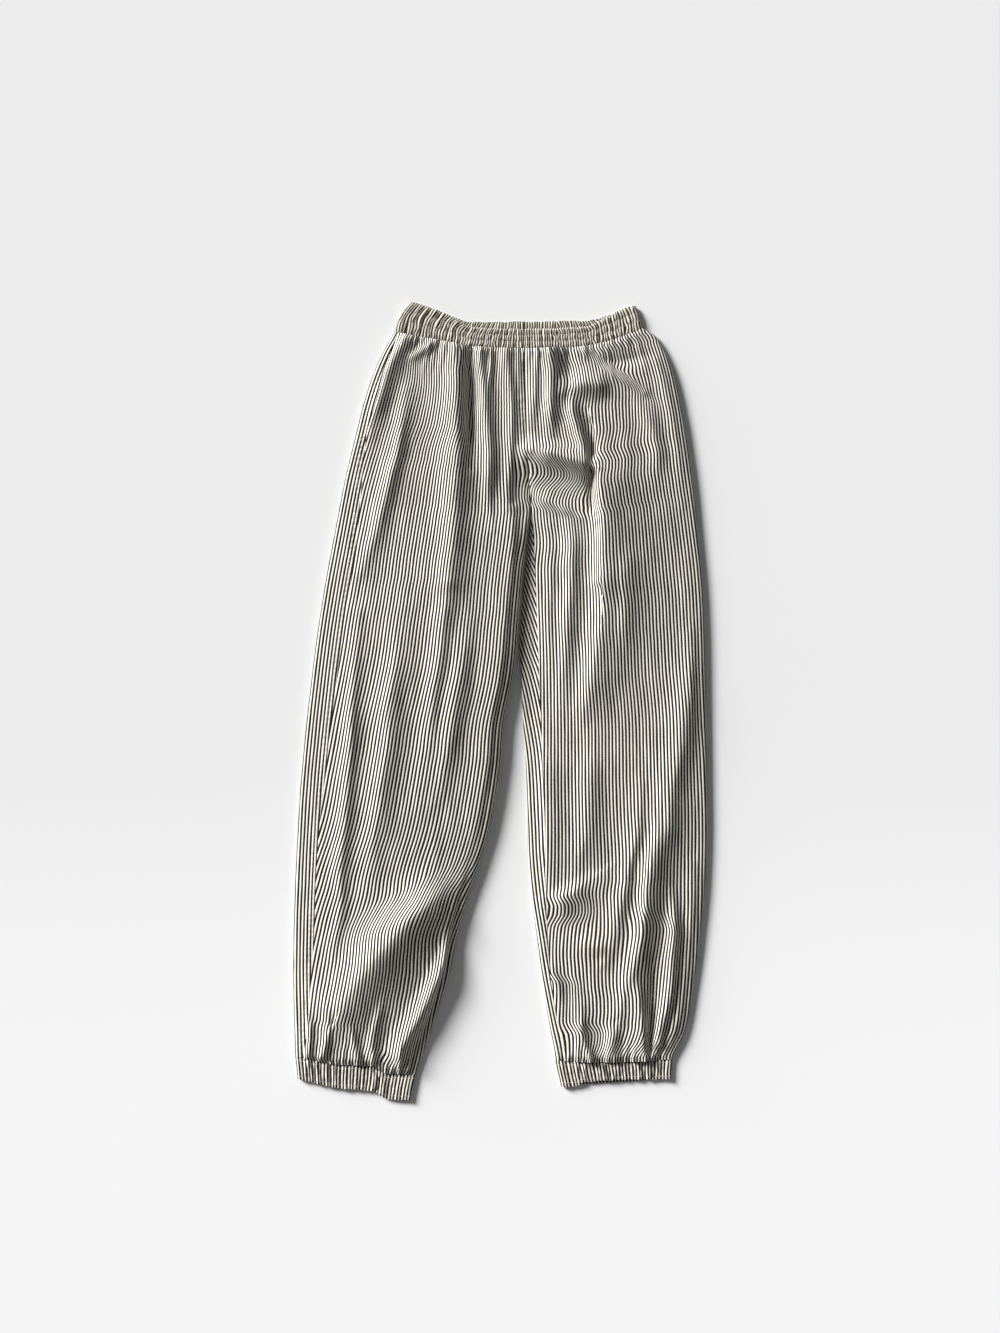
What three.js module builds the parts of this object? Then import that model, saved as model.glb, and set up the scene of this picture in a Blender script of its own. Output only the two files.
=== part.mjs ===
import * as THREE from 'three';

// Pull-on corduroy trousers laid flat, front side up, after the photograph.
// Millimetres: +X to the wearer's left, +Y to the waist, +Z up from the table, origin on the table
// at the middle of the outline. Right and left are the wearer's.

// Driving dimensions
const CLOTH = 1.4;
const BAND_WALL = 3;
const CUFF_WALL = 2;
const FACING_WALL = 0.9;
const SEAM_GAP = 0.3;
const LEAST_TOP = 4;

// Crotch: where the two legs part, and how far above it the front and back begin to close together
const CROTCH_Y = 241;
const CLOSING = 21;
const PARTING = 48;
const INSEAM_TURN = 60;

// Seams that lie underneath: distance from the fold of the leg to the seam
const INSEAM_UNDER = 9;
const SIDE_SEAM_UNDER = 14;

// Side pocket of the right leg: its slit in the side seam
const POCKET = { low: 338, high: 452, ends: 1.7, middle: 3.6, depth: 1.5 };

// Gathers sewn into the waistband and the cuffs
const GATHER = { pitch: 16, uneven: 1.3, sway: 37 };
const WAIST_GATHER = { height: 2.2, reach: 34 };
const CUFF_GATHER = { height: 1.8, reach: 26 };

// Shirring of the elastic
const BAND = { height: 9.2, wave: 0.8, waves: 34 };
const CUFF = { height: 6.8, wave: 0.5, waves: 13 };

const EDGE_FADE = 15;
const INNER_FADE = 9;

const SMOOTH = (v) => {
  const t = THREE.MathUtils.clamp(v, 0, 1);
  return t * t * (3 - 2 * t);
};
const MIX = THREE.MathUtils.lerp;

// A table's columns as smooth functions of its first column, level past the first and last rows
function table(names, rows) {
  const ordered = [...rows].sort((a, b) => a[0] - b[0]);
  const tracks = {};
  names.slice(1).forEach((name, k) => {
    tracks[name] = track(ordered.map((row) => [row[0], row[k + 1]]));
  });
  return tracks;
}

function track(points) {
  const slope = points.map((point, i) => {
    const before = points[Math.max(i - 1, 0)];
    const after = points[Math.min(i + 1, points.length - 1)];
    return (after[1] - before[1]) / (after[0] - before[0]);
  });
  return (at) => {
    const place = THREE.MathUtils.clamp(at, points[0][0], points[points.length - 1][0]);
    let i = 0;
    while (i < points.length - 2 && place > points[i + 1][0]) i += 1;
    const span = points[i + 1][0] - points[i][0];
    const t = (place - points[i][0]) / span;
    const rise = (1 - t) * (1 - t);
    const fall = t * t;
    return points[i][1] * rise * (1 + 2 * t) + slope[i] * span * t * rise
      + points[i + 1][1] * fall * (3 - 2 * t) - slope[i + 1] * span * fall * (1 - t);
  };
}

// Edges and seams as they lie: a row for each section, from the waist to the cuffs
const SECTIONS = table(
  ['y', 'rightSide', 'rightSeam', 'leftSide'],
  [
    [485, -125, -120, 172],
    [466, -130, -125, 177],
    [457, -134, -128, 192],
    [432, -148, -139, 207],
    [401, -161, -150, 218],
    [370, -171, -158, 225],
    [338, -179, -166, 231],
    [276, -194, -172, 240],
    [214, -206, -178, 246],
    [150, -218, -186, 252],
    [88, -228, -196, 255],
    [26, -236, -204, 256],
    [-36, -243, -212, 257],
    [-99, -249, -219, 258],
    [-161, -253, -226, 258.5],
    [-224, -256, -230, 256],
    [-286, -258, -232, 250],
    [-349, -258.5, -236, 242],
    [-411, -257, -241, 231],
    [-445, -256, -246, 215],
  ],
);

const CENTRE_SEAM = table(
  ['y', 'x'],
  [[476, 28.5], [439, 29.5], [376, 30.5], [314, 33.5], [276, 36], [241, 38.5]],
);

const INNER_LEGS = table(
  ['y', 'rightInner', 'leftInner', 'leftInseam'],
  [
    [241, 38.5, 38.5, 38.5],
    [214, 35, 36.5, 41],
    [171, 29.5, 31.5, 43],
    [101, 23, 25.5, 46],
    [66, 20.5, 23.5, 47.5],
    [31, 16, 26, 48.5],
    [-21, 5.5, 28, 50.5],
    [-74, 1, 31.5, 52.5],
    [-146, -10.5, 34.5, 55],
    [-194, -24, 35.5, 56],
    [-244, -40.5, 39, 57],
    [-289, -53, 45, 59],
    [-338, -63, 51, 62],
    [-388, -79, 58.5, 69],
    [-440, -96.5, 67.5, 76.5],
    [-466, -105.5, 69, 78],
  ],
);

// Heights of the folded edges and how far the cloth swells between them
const HEIGHTS = table(
  ['y', 'rightSide', 'rightInner', 'leftInner', 'leftSide', 'swell'],
  [
    [470, 8.5, 9.5, 9.5, 9, 1],
    [400, 7, 8, 8, 10, 5],
    [300, 6.5, 7, 7, 10, 7],
    [262, 6.5, 6.5, 6.5, 10, 7],
    [241, 6.5, 6, 6, 10, 7],
    [150, 6.5, 9.5, 5, 10, 7],
    [-100, 6, 11, 6, 9.5, 6],
    [-300, 6.5, 10, 7, 9, 6],
    [-400, 7, 8.5, 7, 8, 4],
    [-445, 7, 7, 7, 7.5, 2],
  ],
);

// Waistband: its sewn line, its front and back top edges, and its two ends
const WAIST = table(
  ['x', 'join', 'frontTop', 'backTop'],
  [
    [-134, 462, 500, 500],
    [-111, 456, 497, 497],
    [-88, 452, 491, 491],
    [-57, 446, 477, 479],
    [-44, 443, 469.5, 474.5],
    [-25, 441, 466, 473],
    [30, 439.5, 464, 473.5],
    [93, 441, 466, 474.5],
    [112, 443.5, 468.5, 475],
    [137, 449.5, 481, 482],
    [156, 456, 489.5, 489.5],
    [176, 464.5, 494.5, 494.5],
  ],
);
const WAIST_ENDS = table(['up', 'right', 'left'], [[0, -132, 177], [0.55, -125, 174], [1, -112, 169]]);

// Underneath, a sewn line or hem runs straight from one end to the other
const straight = (line, from, to) => (x) => MIX(line(from), line(to), (x - from) / (to - from));
const WAIST_SIDES = { right: -133, left: 177 };
const WAIST_CENTRE = 29.5;

// Cuffs: the sewn line and the hem, and their two ends
const RIGHT_CUFF = table(
  ['x', 'join', 'hem'],
  [
    [-256, -443, -471],
    [-233, -449, -476.5],
    [-205, -453.5, -483],
    [-156, -456.5, -488],
    [-146, -464, -495],
    [-130, -465.5, -498],
    [-105, -466.5, -497.5],
  ],
);
const RIGHT_CUFF_ENDS = table(['up', 'low', 'high'], [[0, -256, -105.5], [1, -253, -112]]);
const LEFT_CUFF = table(
  ['x', 'join', 'hem'],
  [
    [69, -449, -481.5],
    [94, -450, -481],
    [104, -450.5, -476.5],
    [146, -450.5, -473],
    [180, -449, -472.5],
    [214, -447, -472],
  ],
);
const LEFT_CUFF_ENDS = table(['up', 'low', 'high'], [[0, 68.5, 214.5], [1, 76, 213]]);

// Folds on the front, each a bow through three points: height, its reach to the right and left hand
// of someone who walks it from its first point, and the share of its height at its first and last
const FOLD_COLUMNS = [
  'x0', 'y0', 'x1', 'y1', 'x2', 'y2', 'height', 'rightReach', 'leftReach', 'first', 'last',
];
const FOLDS = [
  // right hip and thigh
  [-54, 446, -51, 320, -60, 150, 9, 20, 15, 0.9, 0.8],
  [-35, 436, -34, 370, -37, 300, -8, 6, 7, 0.4, 0.3],
  [-60, 150, -76, 50, -93, -100, 5, 12, 12, 1, 0.2],
  [-22, 438, -16, 330, -10, 215, 6, 8, 7, 1, 0.4],
  [9, 438, 13, 350, 9, 240, 4, 8, 6, 1, 0.9],
  [14, 240, 6, 60, -38, -195, 4, 24, 8, 1, 0.3],
  [-78, 451, -90, 443, -109, 428, 5, 6, 6, 0.8, 0.6],
  [-120, 450, -143, 395, -163, 335, 6.5, 10, 11, 0.9, 0.4],
  [-117, 385, -135, 290, -172, 160, 6.5, 10, 10, 0.3, 0.4],
  [-128, 110, -142, -50, -167, -235, 6, 12, 16, 0.2, 0.2],
  [-55, 100, -55, 20, -62, -60, 3, 7, 7, 0.2, 0.2],
  [-40, 100, -53, 0, -80, -120, 5, 18, 12, 0.3, 0.3],
  [-178, 110, -190, -110, -207, -330, 6, 10, 9, 0.3, 0.3],
  // right shin and cuff
  [-58, -229, -126, -279, -196, -378, 14, 24, 38, 0.2, 0.7],
  [-53, -262, -80, -340, -128, -440, 10, 10, 13, 0.4, 1],
  [-140, -345, -156, -410, -158, -446, 5, 8, 8, 0.2, 1],
  [-218, -355, -214, -400, -222, -440, 6, 8, 6, 0.3, 1],
  [-190, -390, -183, -420, -180, -446, 5, 7, 7, 0.2, 1],
  [-237, -388, -238, -415, -241, -440, 4, 5, 5, 0.3, 1],
  // left hip and thigh
  [42, 438, 42, 395, 40, 345, 4, 8, 8, 1, 0.2],
  [64, 440, 67, 385, 66, 330, 8, 12, 8, 1, 0.3],
  [84, 436, 86, 390, 86, 350, -4, 5, 6, 0.8, 0.4],
  [88, 394, 122, 399, 172, 384, 13, 21, 20, 0.7, 0.3],
  [118, 430, 150, 426, 190, 432, -3, 8, 8, 0.3, 0.3],
  [88, 385, 97, 345, 112, 298, 8, 12, 7, 0.6, 1],
  [42, 312, 75, 303, 113, 295, 15, 17, 12, 0.5, 1],
  [41, 252, 68, 243, 97, 228, 5, 9, 8, 0.5, 0.3],
  [118, 330, 131, 240, 129, 150, 11, 12, 38, 0.3, 1],
  [113, 345, 115, 290, 117, 240, -7, 5, 5, 0.2, 0.5],
  [129, 150, 120, 60, 98, -40, 9, 12, 32, 1, 0.1],
  [150, 200, 155, 140, 142, 40, 7, 12, 22, 0.3, 0.5],
  [85, 222, 88, 140, 72, -30, 6.5, 12, 12, 0.4, 0.2],
  [58, 215, 62, 120, 60, 10, 3, 8, 8, 0.4, 0.3],
  [40, 230, 36, 120, 38, -20, -4, 8, 6, 0.4, 0.3],
  [165, 380, 190, 330, 196, 270, 4, 12, 10, 0.3, 0.2],
  [200, 425, 220, 351, 229, 245, 4, 10, 10, 0.6, 0.2],
  // left shin and cuff
  [246, 80, 221, -80, 194, -215, 7, 20, 14, 0.3, 0.8],
  [112, -40, 110, -130, 96, -215, 5, 18, 16, 0.3, 0.3],
  [50, -40, 55, -130, 62, -235, 6, 6, 30, 0.3, 0.3],
  [176, -105, 160, -215, 130, -325, 8, 12, 9, 0.3, 0.4],
  [197, -160, 178, -250, 152, -335, 8, 8, 18, 0.5, 0.4],
  [191, -320, 190, -390, 187, -435, -5, 6, 6, 0.4, 0.6],
  [214, -235, 216, -320, 198, -425, 7, 9, 7, 0.3, 0.8],
  [168, -330, 176, -390, 180, -446, 6, 14, 8, 0.3, 0.8],
  [243, -200, 240, -320, 216, -430, 5, 8, 7, 0.3, 0.8],
  [62, -244, 85, -240, 112, -222, 8, 24, 10, 0.4, 0.3],
  [95, -292, 115, -304, 140, -300, 4, 14, 14, 0.3, 0.3],
  [57, -334, 70, -347, 77, -387, 3.5, 6, 7, 0.4, 0.2],
  [103, -385, 104, -415, 112, -446, 6, 9, 6, 0.3, 1],
  [145, -400, 140, -430, 140, -446, 5, 9, 8, 0.3, 1],
].map((row) => Object.fromEntries(FOLD_COLUMNS.map((name, k) => [name, row[k]])));
const FOLD_STEPS = 10;
const FOLD_ENDING = 0.35;
const FOLD_CREST = 1.7;

// A fold's bow as a short chain of points
for (const fold of FOLDS) {
  const bend = new THREE.QuadraticBezierCurve(
    new THREE.Vector2(fold.x0, fold.y0),
    new THREE.Vector2(2 * fold.x1 - (fold.x0 + fold.x2) / 2, 2 * fold.y1 - (fold.y0 + fold.y2) / 2),
    new THREE.Vector2(fold.x2, fold.y2),
  );
  fold.chain = bend.getPoints(FOLD_STEPS);
}

// Height that one fold adds at a place
function foldHeight(fold, x, y) {
  let nearest = Infinity;
  let side = 0;
  let along = 0;
  for (let i = 0; i < FOLD_STEPS; i += 1) {
    const a = fold.chain[i];
    const b = fold.chain[i + 1];
    const dx = b.x - a.x;
    const dy = b.y - a.y;
    const t = THREE.MathUtils.clamp(((x - a.x) * dx + (y - a.y) * dy) / (dx * dx + dy * dy), 0, 1);
    const gap = Math.hypot(x - a.x - t * dx, y - a.y - t * dy);
    if (gap < nearest) {
      nearest = gap;
      side = dx * (y - a.y) - dy * (x - a.x);
      along = (i + t) / FOLD_STEPS;
    }
  }
  const reach = side > 0 ? fold.leftReach : fold.rightReach;
  const first = MIX(fold.first, 1, SMOOTH(along / FOLD_ENDING));
  const last = MIX(fold.last, 1, SMOOTH((1 - along) / FOLD_ENDING));
  return fold.height * first * last * Math.exp(-((nearest / reach) ** FOLD_CREST));
}

// Ridges join into one another without adding up, and hollows are taken away
function foldsHeight(x, y) {
  let ridges = 0;
  let hollows = 0;
  for (const fold of FOLDS) {
    const height = foldHeight(fold, x, y);
    if (height > 0) ridges += height ** 3;
    else hollows += height;
  }
  return Math.cbrt(ridges) + hollows;
}

function gathers(cuff, x, y) {
  const wave = Math.cos((2 * Math.PI * x) / GATHER.pitch + GATHER.uneven * Math.sin(x / GATHER.sway));
  const waist = WAIST_GATHER.height * Math.exp(-Math.max(WAIST.join(x) - y, 0) / WAIST_GATHER.reach);
  const ankle = CUFF_GATHER.height * Math.exp(-Math.max(y - cuff.join(x), 0) / CUFF_GATHER.reach);
  return wave * (waist + ankle);
}

// Each leg is a flattened tube: its low and high edges along X, and where its seams lie.
// A place on it is a path length from the middle of the low edge, over the top; below nought, under.
const LEGS = {
  right: {
    side: 'rightSide', inside: 'rightInner', cuff: RIGHT_CUFF, ankle: [-256, -105],
    innerIsHigh: true,
    waistUnder: straight(WAIST.join, WAIST_SIDES.right, WAIST_CENTRE),
    inner: (y) => (y > CROTCH_Y ? CENTRE_SEAM.x(y) : INNER_LEGS.rightInner(y)) - SEAM_GAP / 2,
  },
  left: {
    side: 'leftSide', inside: 'leftInner', cuff: LEFT_CUFF, ankle: [69, 214],
    innerIsHigh: false,
    waistUnder: straight(WAIST.join, WAIST_SIDES.left, WAIST_CENTRE),
    inner: (y) => (y > CROTCH_Y ? CENTRE_SEAM.x(y) : INNER_LEGS.leftInner(y)) + SEAM_GAP / 2,
  },
};

// Turn of the cloth round the inner edge: none above the crotch, a quarter turn at it
const closing = (y) => (Math.PI / 2) * SMOOTH((CROTCH_Y + CLOSING - y) / CLOSING);
const parting = (y) => SMOOTH((CROTCH_Y + CLOSING + PARTING - y) / PARTING);

function tube(leg, y) {
  const innerRadius = HEIGHTS[leg.inside](y) / 2;
  const sideRadius = HEIGHTS[leg.side](y) / 2;
  const outward = leg.innerIsHigh ? 1 : -1;
  const innerEdge = leg.inner(y) + outward * innerRadius * (1 - Math.sin(closing(y)));
  const sideEdge = SECTIONS[leg.side](y);
  const [low, lowRadius] = leg.innerIsHigh ? [sideEdge, sideRadius] : [innerEdge, innerRadius];
  const [high, highRadius] = leg.innerIsHigh ? [innerEdge, innerRadius] : [sideEdge, sideRadius];
  const flatLow = low + lowRadius;
  const flatHigh = high - highRadius;
  const lowQuarter = (Math.PI / 2) * lowRadius;
  const highQuarter = (Math.PI / 2) * highRadius;
  const length = lowQuarter + (flatHigh - flatLow) + highQuarter;
  return { leg, y, low, high, lowRadius, highRadius, flatLow, flatHigh, lowQuarter, highQuarter, length };
}

// Height of the top cloth between the two folded edges
function topHeight(shape, x) {
  const { leg, y, flatLow, flatHigh } = shape;
  const width = flatHigh - flatLow;
  const fromSide = leg.innerIsHigh ? x - flatLow : flatHigh - x;
  const t = THREE.MathUtils.clamp(fromSide / width, 0, 1);
  const apart = parting(y);
  const level = MIX(HEIGHTS[leg.side](y), HEIGHTS[leg.inside](y), SMOOTH(t));
  const arch = MIX(Math.sin((Math.PI / 2) * t), Math.sin(Math.PI * t), apart);
  const sideFade = SMOOTH(fromSide / EDGE_FADE);
  const innerFade = 1 - apart * (1 - SMOOTH((width - fromSide) / INNER_FADE));
  const relief = foldsHeight(x, y) + gathers(leg.cuff, x, y);
  return Math.max(level + HEIGHTS.swell(y) * arch + relief * sideFade * innerFade, LEAST_TOP);
}

// Point of a tube's outer face, as X and height
function onTube(shape, path) {
  const { low, high, lowRadius, highRadius, lowQuarter, highQuarter, length } = shape;
  const under = path < 0 || path > length;
  const up = under ? -1 : 1;
  let distance = path;
  if (path < 0) distance = -path;
  if (path > length) distance = 2 * length - path;
  if (distance < lowQuarter) {
    const angle = distance / lowRadius;
    return [low + lowRadius * (1 - Math.cos(angle)), lowRadius * (1 + up * Math.sin(angle))];
  }
  if (distance > length - highQuarter) {
    const angle = (length - distance) / highRadius;
    return [high - highRadius * (1 - Math.cos(angle)), highRadius * (1 + up * Math.sin(angle))];
  }
  const x = shape.flatLow + distance - lowQuarter;
  return [x, under ? 0 : shape.top(x)];
}

// Outer point and, a wall's thickness inside it, inner point
function wallPoint(shape, path, wall, sink = 0) {
  const step = 0.05;
  const [x, z] = onTube(shape, path);
  const before = onTube(shape, path - step);
  const after = onTube(shape, path + step);
  const run = Math.hypot(after[0] - before[0], after[1] - before[1]);
  const normal = [-(after[1] - before[1]) / run, (after[0] - before[0]) / run];
  const at = (depth) => [x - normal[0] * depth, shape.y, z - normal[1] * depth];
  return { outer: at(sink), inner: at(sink + wall) };
}

// Path length at a place on the top cloth
function pathAt(shape, x) {
  const inside = Math.max(x - shape.low, 0);
  if (inside < shape.lowRadius) return shape.lowRadius * Math.acos(1 - inside / shape.lowRadius);
  return shape.lowQuarter + x - shape.flatLow;
}

function legSection(leg, y) {
  const shape = tube(leg, y);
  shape.top = (x) => topHeight(shape, x);
  return shape;
}

// Where each panel begins and ends on its leg's tube
const HALF_GAP = SEAM_GAP / 2;
const opened = (shape, radius) => (Math.PI / 2 - closing(shape.y)) * radius;
const rightSideSeam = (shape) => pathAt(shape, SECTIONS.rightSeam(shape.y));
const rightInseam = (shape) => {
  const turned = SMOOTH((CROTCH_Y - shape.y) / INSEAM_TURN);
  return shape.length + turned * (shape.highQuarter + INSEAM_UNDER);
};
const leftInseam = (shape) => (shape.y > CROTCH_Y ? 0 : pathAt(shape, INNER_LEGS.leftInseam(shape.y)));
const leftSideSeam = (shape) => shape.length + shape.highQuarter + SIDE_SEAM_UNDER;

function pocketSlit(y) {
  const share = (y - POCKET.low) / (POCKET.high - POCKET.low);
  if (share < 0 || share > 1) return 0;
  return POCKET.ends + (POCKET.middle - POCKET.ends) * Math.sin(Math.PI * share);
}

const SPANS = {
  front_right: (shape) => [
    rightSideSeam(shape) + HALF_GAP + pocketSlit(shape.y),
    rightInseam(shape) - opened(shape, shape.highRadius) - HALF_GAP,
  ],
  back_right: (shape) => [
    rightSideSeam(shape) - HALF_GAP,
    rightInseam(shape) + opened(shape, shape.highRadius) + HALF_GAP - 2 * shape.length,
  ],
  front_left: (shape) => [
    leftInseam(shape) + opened(shape, shape.lowRadius) + HALF_GAP,
    leftSideSeam(shape) - HALF_GAP,
  ],
  back_left: (shape) => [
    leftInseam(shape) - opened(shape, shape.lowRadius) - HALF_GAP,
    leftSideSeam(shape) + HALF_GAP - 2 * shape.length,
  ],
};

// Columns stand close in an end zone of fixed length at each side, and evenly between
const FRONT_ZONES = {
  right: { start: 12, startColumns: 2, middleColumns: 32, end: 22, endColumns: 6 },
  left: { start: 14, startColumns: 3, middleColumns: 30, end: 30, endColumns: 7 },
};
const BACK_ZONES = {
  right: { start: 36, startColumns: 8, middleColumns: 3, end: 7, endColumns: 2 },
  left: { start: 34, startColumns: 8, middleColumns: 3, end: 7, endColumns: 2 },
};
const ROWS = 27;
const ROW_SHIFT = 0.07;

const columnCount = (zones) => zones.startColumns + zones.middleColumns + zones.endColumns;

function columnPath(zones, [from, to], column) {
  const toward = Math.sign(to - from);
  const { start, startColumns, middleColumns, end, endColumns } = zones;
  if (column <= startColumns) return from + (toward * start * column) / startColumns;
  const left = columnCount(zones) - column;
  if (left <= endColumns) return to - (toward * end * left) / endColumns;
  return MIX(from + toward * start, to - toward * end, (column - startColumns) / middleColumns);
}

// Rows stand closer at the waist and the cuffs than at the knee
const rowShare = (row) => row / ROWS - ROW_SHIFT * Math.sin((2 * Math.PI * row) / ROWS);

// Y where a column of a panel meets a sewn line, on top or underneath, found by repeated approach
const MEETING_TURNS = 8;
function meets(leg, span, zones, column, line, underLine, shift) {
  let y = line(0) + shift;
  for (let turn = 0; turn < MEETING_TURNS; turn += 1) {
    const shape = tube(leg, y);
    shape.top = () => 0;
    const path = columnPath(zones, span(shape), column);
    const [x] = onTube(shape, path);
    y = (path < 0 || path > shape.length ? underLine : line)(x) + shift;
  }
  return y;
}

// Geometry
function closedMesh(points, faces) {
  const geometry = new THREE.BufferGeometry();
  geometry.setAttribute('position', new THREE.Float32BufferAttribute(points.flat(), 3));
  geometry.setIndex(facesOutward(points, faces).flat());
  geometry.computeVertexNormals();
  return geometry;
}

function facesOutward(points, faces) {
  let volume = 0;
  const a = new THREE.Vector3();
  const b = new THREE.Vector3();
  const c = new THREE.Vector3();
  for (const [i, j, k] of faces) {
    a.fromArray(points[i]);
    b.fromArray(points[j]);
    c.fromArray(points[k]);
    volume += a.dot(b.cross(c));
  }
  return volume > 0 ? faces : faces.map(([i, j, k]) => [i, k, j]);
}

// A wall over a grid of outer and inner points; a ring's last column meets its first
function wallMesh(grid, ring = false) {
  const rows = grid.length;
  const columns = grid[0].length;
  const points = [...grid.flat().map((p) => p.outer), ...grid.flat().map((p) => p.inner)];
  const outer = (i, j) => i * columns + (j % columns);
  const inner = (i, j) => rows * columns + outer(i, j);
  const faces = [];
  const quad = (a, b, c, d) => faces.push([a, b, c], [a, c, d]);
  const last = ring ? columns : columns - 1;
  for (let i = 0; i < rows - 1; i += 1) {
    for (let j = 0; j < last; j += 1) {
      quad(outer(i, j), outer(i, j + 1), outer(i + 1, j + 1), outer(i + 1, j));
      quad(inner(i, j), inner(i + 1, j), inner(i + 1, j + 1), inner(i, j + 1));
    }
  }
  for (let j = 0; j < last; j += 1) {
    quad(outer(0, j), inner(0, j), inner(0, j + 1), outer(0, j + 1));
    quad(outer(rows - 1, j), outer(rows - 1, j + 1), inner(rows - 1, j + 1), inner(rows - 1, j));
  }
  for (let i = 0; !ring && i < rows - 1; i += 1) {
    quad(outer(i, 0), outer(i + 1, 0), inner(i + 1, 0), inner(i, 0));
    quad(outer(i, last), inner(i, last), inner(i + 1, last), outer(i + 1, last));
  }
  return closedMesh(points, faces);
}

// Panels
function panelRows(leg, span, zones) {
  const columns = [...Array(columnCount(zones) + 1).keys()];
  const { join } = leg.cuff;
  const tops = columns.map((c) => meets(leg, span, zones, c, WAIST.join, leg.waistUnder, -HALF_GAP));
  const ankleUnder = straight(join, ...leg.ankle);
  const bottoms = columns.map((c) => meets(leg, span, zones, c, join, ankleUnder, HALF_GAP));
  return (row, column) => MIX(tops[column], bottoms[column], rowShare(row));
}

function panel(leg, span, zones) {
  const yAt = panelRows(leg, span, zones);
  const grid = [];
  for (let row = 0; row <= ROWS; row += 1) {
    const line = [];
    for (let column = 0; column <= columnCount(zones); column += 1) {
      const shape = legSection(leg, yAt(row, column));
      line.push(wallPoint(shape, columnPath(zones, span(shape), column), CLOTH));
    }
    grid.push(line);
  }
  return wallMesh(grid);
}

// Pocket facing: the strip that shows in the slit, on the same rows as the front panel's edge
function pocketFacing() {
  const yAt = panelRows(LEGS.right, SPANS.front_right, FRONT_ZONES.right);
  const grid = [];
  for (let row = 0; row <= ROWS; row += 1) {
    const shape = legSection(LEGS.right, yAt(row, 0));
    const slit = pocketSlit(shape.y);
    if (slit > 0) {
      const seam = rightSideSeam(shape);
      const paths = [seam + HALF_GAP, seam + slit - HALF_GAP];
      grid.push(paths.map((path) => wallPoint(shape, path, FACING_WALL, POCKET.depth)));
    }
  }
  return wallMesh(grid);
}

// Elastic bands: flat rings with shirring on top
function bandSection(low, high, { height, waves, wave }) {
  const radius = height / 2;
  const flatLow = low + radius;
  const flatHigh = high - radius;
  const quarter = (Math.PI / 2) * radius;
  const length = 2 * quarter + flatHigh - flatLow;
  const top = (x) => {
    const fade = SMOOTH((x - flatLow) / EDGE_FADE) * SMOOTH((flatHigh - x) / EDGE_FADE);
    return height + wave * fade * Math.cos((2 * Math.PI * waves * (x - low)) / (high - low));
  };
  return {
    low, high, lowRadius: radius, highRadius: radius, flatLow, flatHigh,
    lowQuarter: quarter, highQuarter: quarter, length, top,
  };
}

// One half of the waistband's front or back, from its side fold to the centre seam
const WAIST_ROWS = 2;
const FRONT_BAND_COLUMNS = 66;
const BACK_BAND_COLUMNS = 24;
function waistband(side, front) {
  const columns = front ? FRONT_BAND_COLUMNS : BACK_BAND_COLUMNS;
  const topEdge = front ? WAIST.frontTop : WAIST.backTop;
  const join = front ? WAIST.join : LEGS[side].waistUnder;
  const grid = [];
  for (let row = 0; row <= WAIST_ROWS; row += 1) {
    const up = row / WAIST_ROWS;
    const shape = bandSection(WAIST_ENDS.right(up), WAIST_ENDS.left(up), BAND);
    const centre = pathAt(shape, WAIST_CENTRE);
    const [begin, end] = side === 'right' ? [0, centre] : [centre, shape.length];
    const line = [];
    for (let column = 0; column <= columns; column += 1) {
      const path = MIX(begin + HALF_GAP, end - HALF_GAP, column / columns);
      const [x] = onTube(shape, path);
      shape.y = MIX(join(x) + SEAM_GAP, topEdge(x), up);
      line.push(wallPoint(shape, front ? path : -path, BAND_WALL));
    }
    grid.push(line);
  }
  return wallMesh(grid);
}

const CUFF_ROWS = 2;
const CUFF_TOP_COLUMNS = 46;
const CUFF_UNDER_COLUMNS = 16;
function cuff({ cuff: edges, ankle }, ends) {
  const top = [edges.join, edges.hem];
  const under = top.map((line) => straight(line, ...ankle));
  const grid = [];
  for (let row = 0; row <= CUFF_ROWS; row += 1) {
    const down = row / CUFF_ROWS;
    const shape = bandSection(ends.low(down), ends.high(down), CUFF);
    const line = [];
    const place = (path) => {
      const [x] = onTube(shape, path);
      const [join, hem] = path > shape.length ? under : top;
      shape.y = MIX(join(x) - HALF_GAP, hem(x), down);
      line.push(wallPoint(shape, path, CUFF_WALL));
    };
    for (let c = 0; c < CUFF_TOP_COLUMNS; c += 1) place((shape.length * c) / CUFF_TOP_COLUMNS);
    for (let c = 0; c < CUFF_UNDER_COLUMNS; c += 1) place(shape.length * (1 + c / CUFF_UNDER_COLUMNS));
    grid.push(line);
  }
  return wallMesh(grid, true);
}

// Materials and nodes
const cloth = (color) => new THREE.MeshStandardMaterial({ color, roughness: 0.95, metalness: 0 });
const CORDUROY = 0x99958a;
const SHIRRED = 0xa8a193;
const SHADED = 0x5a5349;

const trousers = new THREE.Group();
trousers.name = 'corduroy_trousers';

function addPiece(name, geometry, color) {
  const mesh = new THREE.Mesh(geometry, cloth(color));
  mesh.name = name;
  trousers.add(mesh);
}

for (const [side, leg] of Object.entries(LEGS)) {
  addPiece(`front_${side}`, panel(leg, SPANS[`front_${side}`], FRONT_ZONES[side]), CORDUROY);
  addPiece(`back_${side}`, panel(leg, SPANS[`back_${side}`], BACK_ZONES[side]), CORDUROY);
  addPiece(`waistband_front_${side}`, waistband(side, true), SHIRRED);
  addPiece(`waistband_back_${side}`, waistband(side, false), SHIRRED);
}
addPiece('cuff_right', cuff(LEGS.right, RIGHT_CUFF_ENDS), CORDUROY);
addPiece('cuff_left', cuff(LEGS.left, LEFT_CUFF_ENDS), CORDUROY);
addPiece('pocket_facing_right', pocketFacing(), SHADED);

export default trousers;
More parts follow.
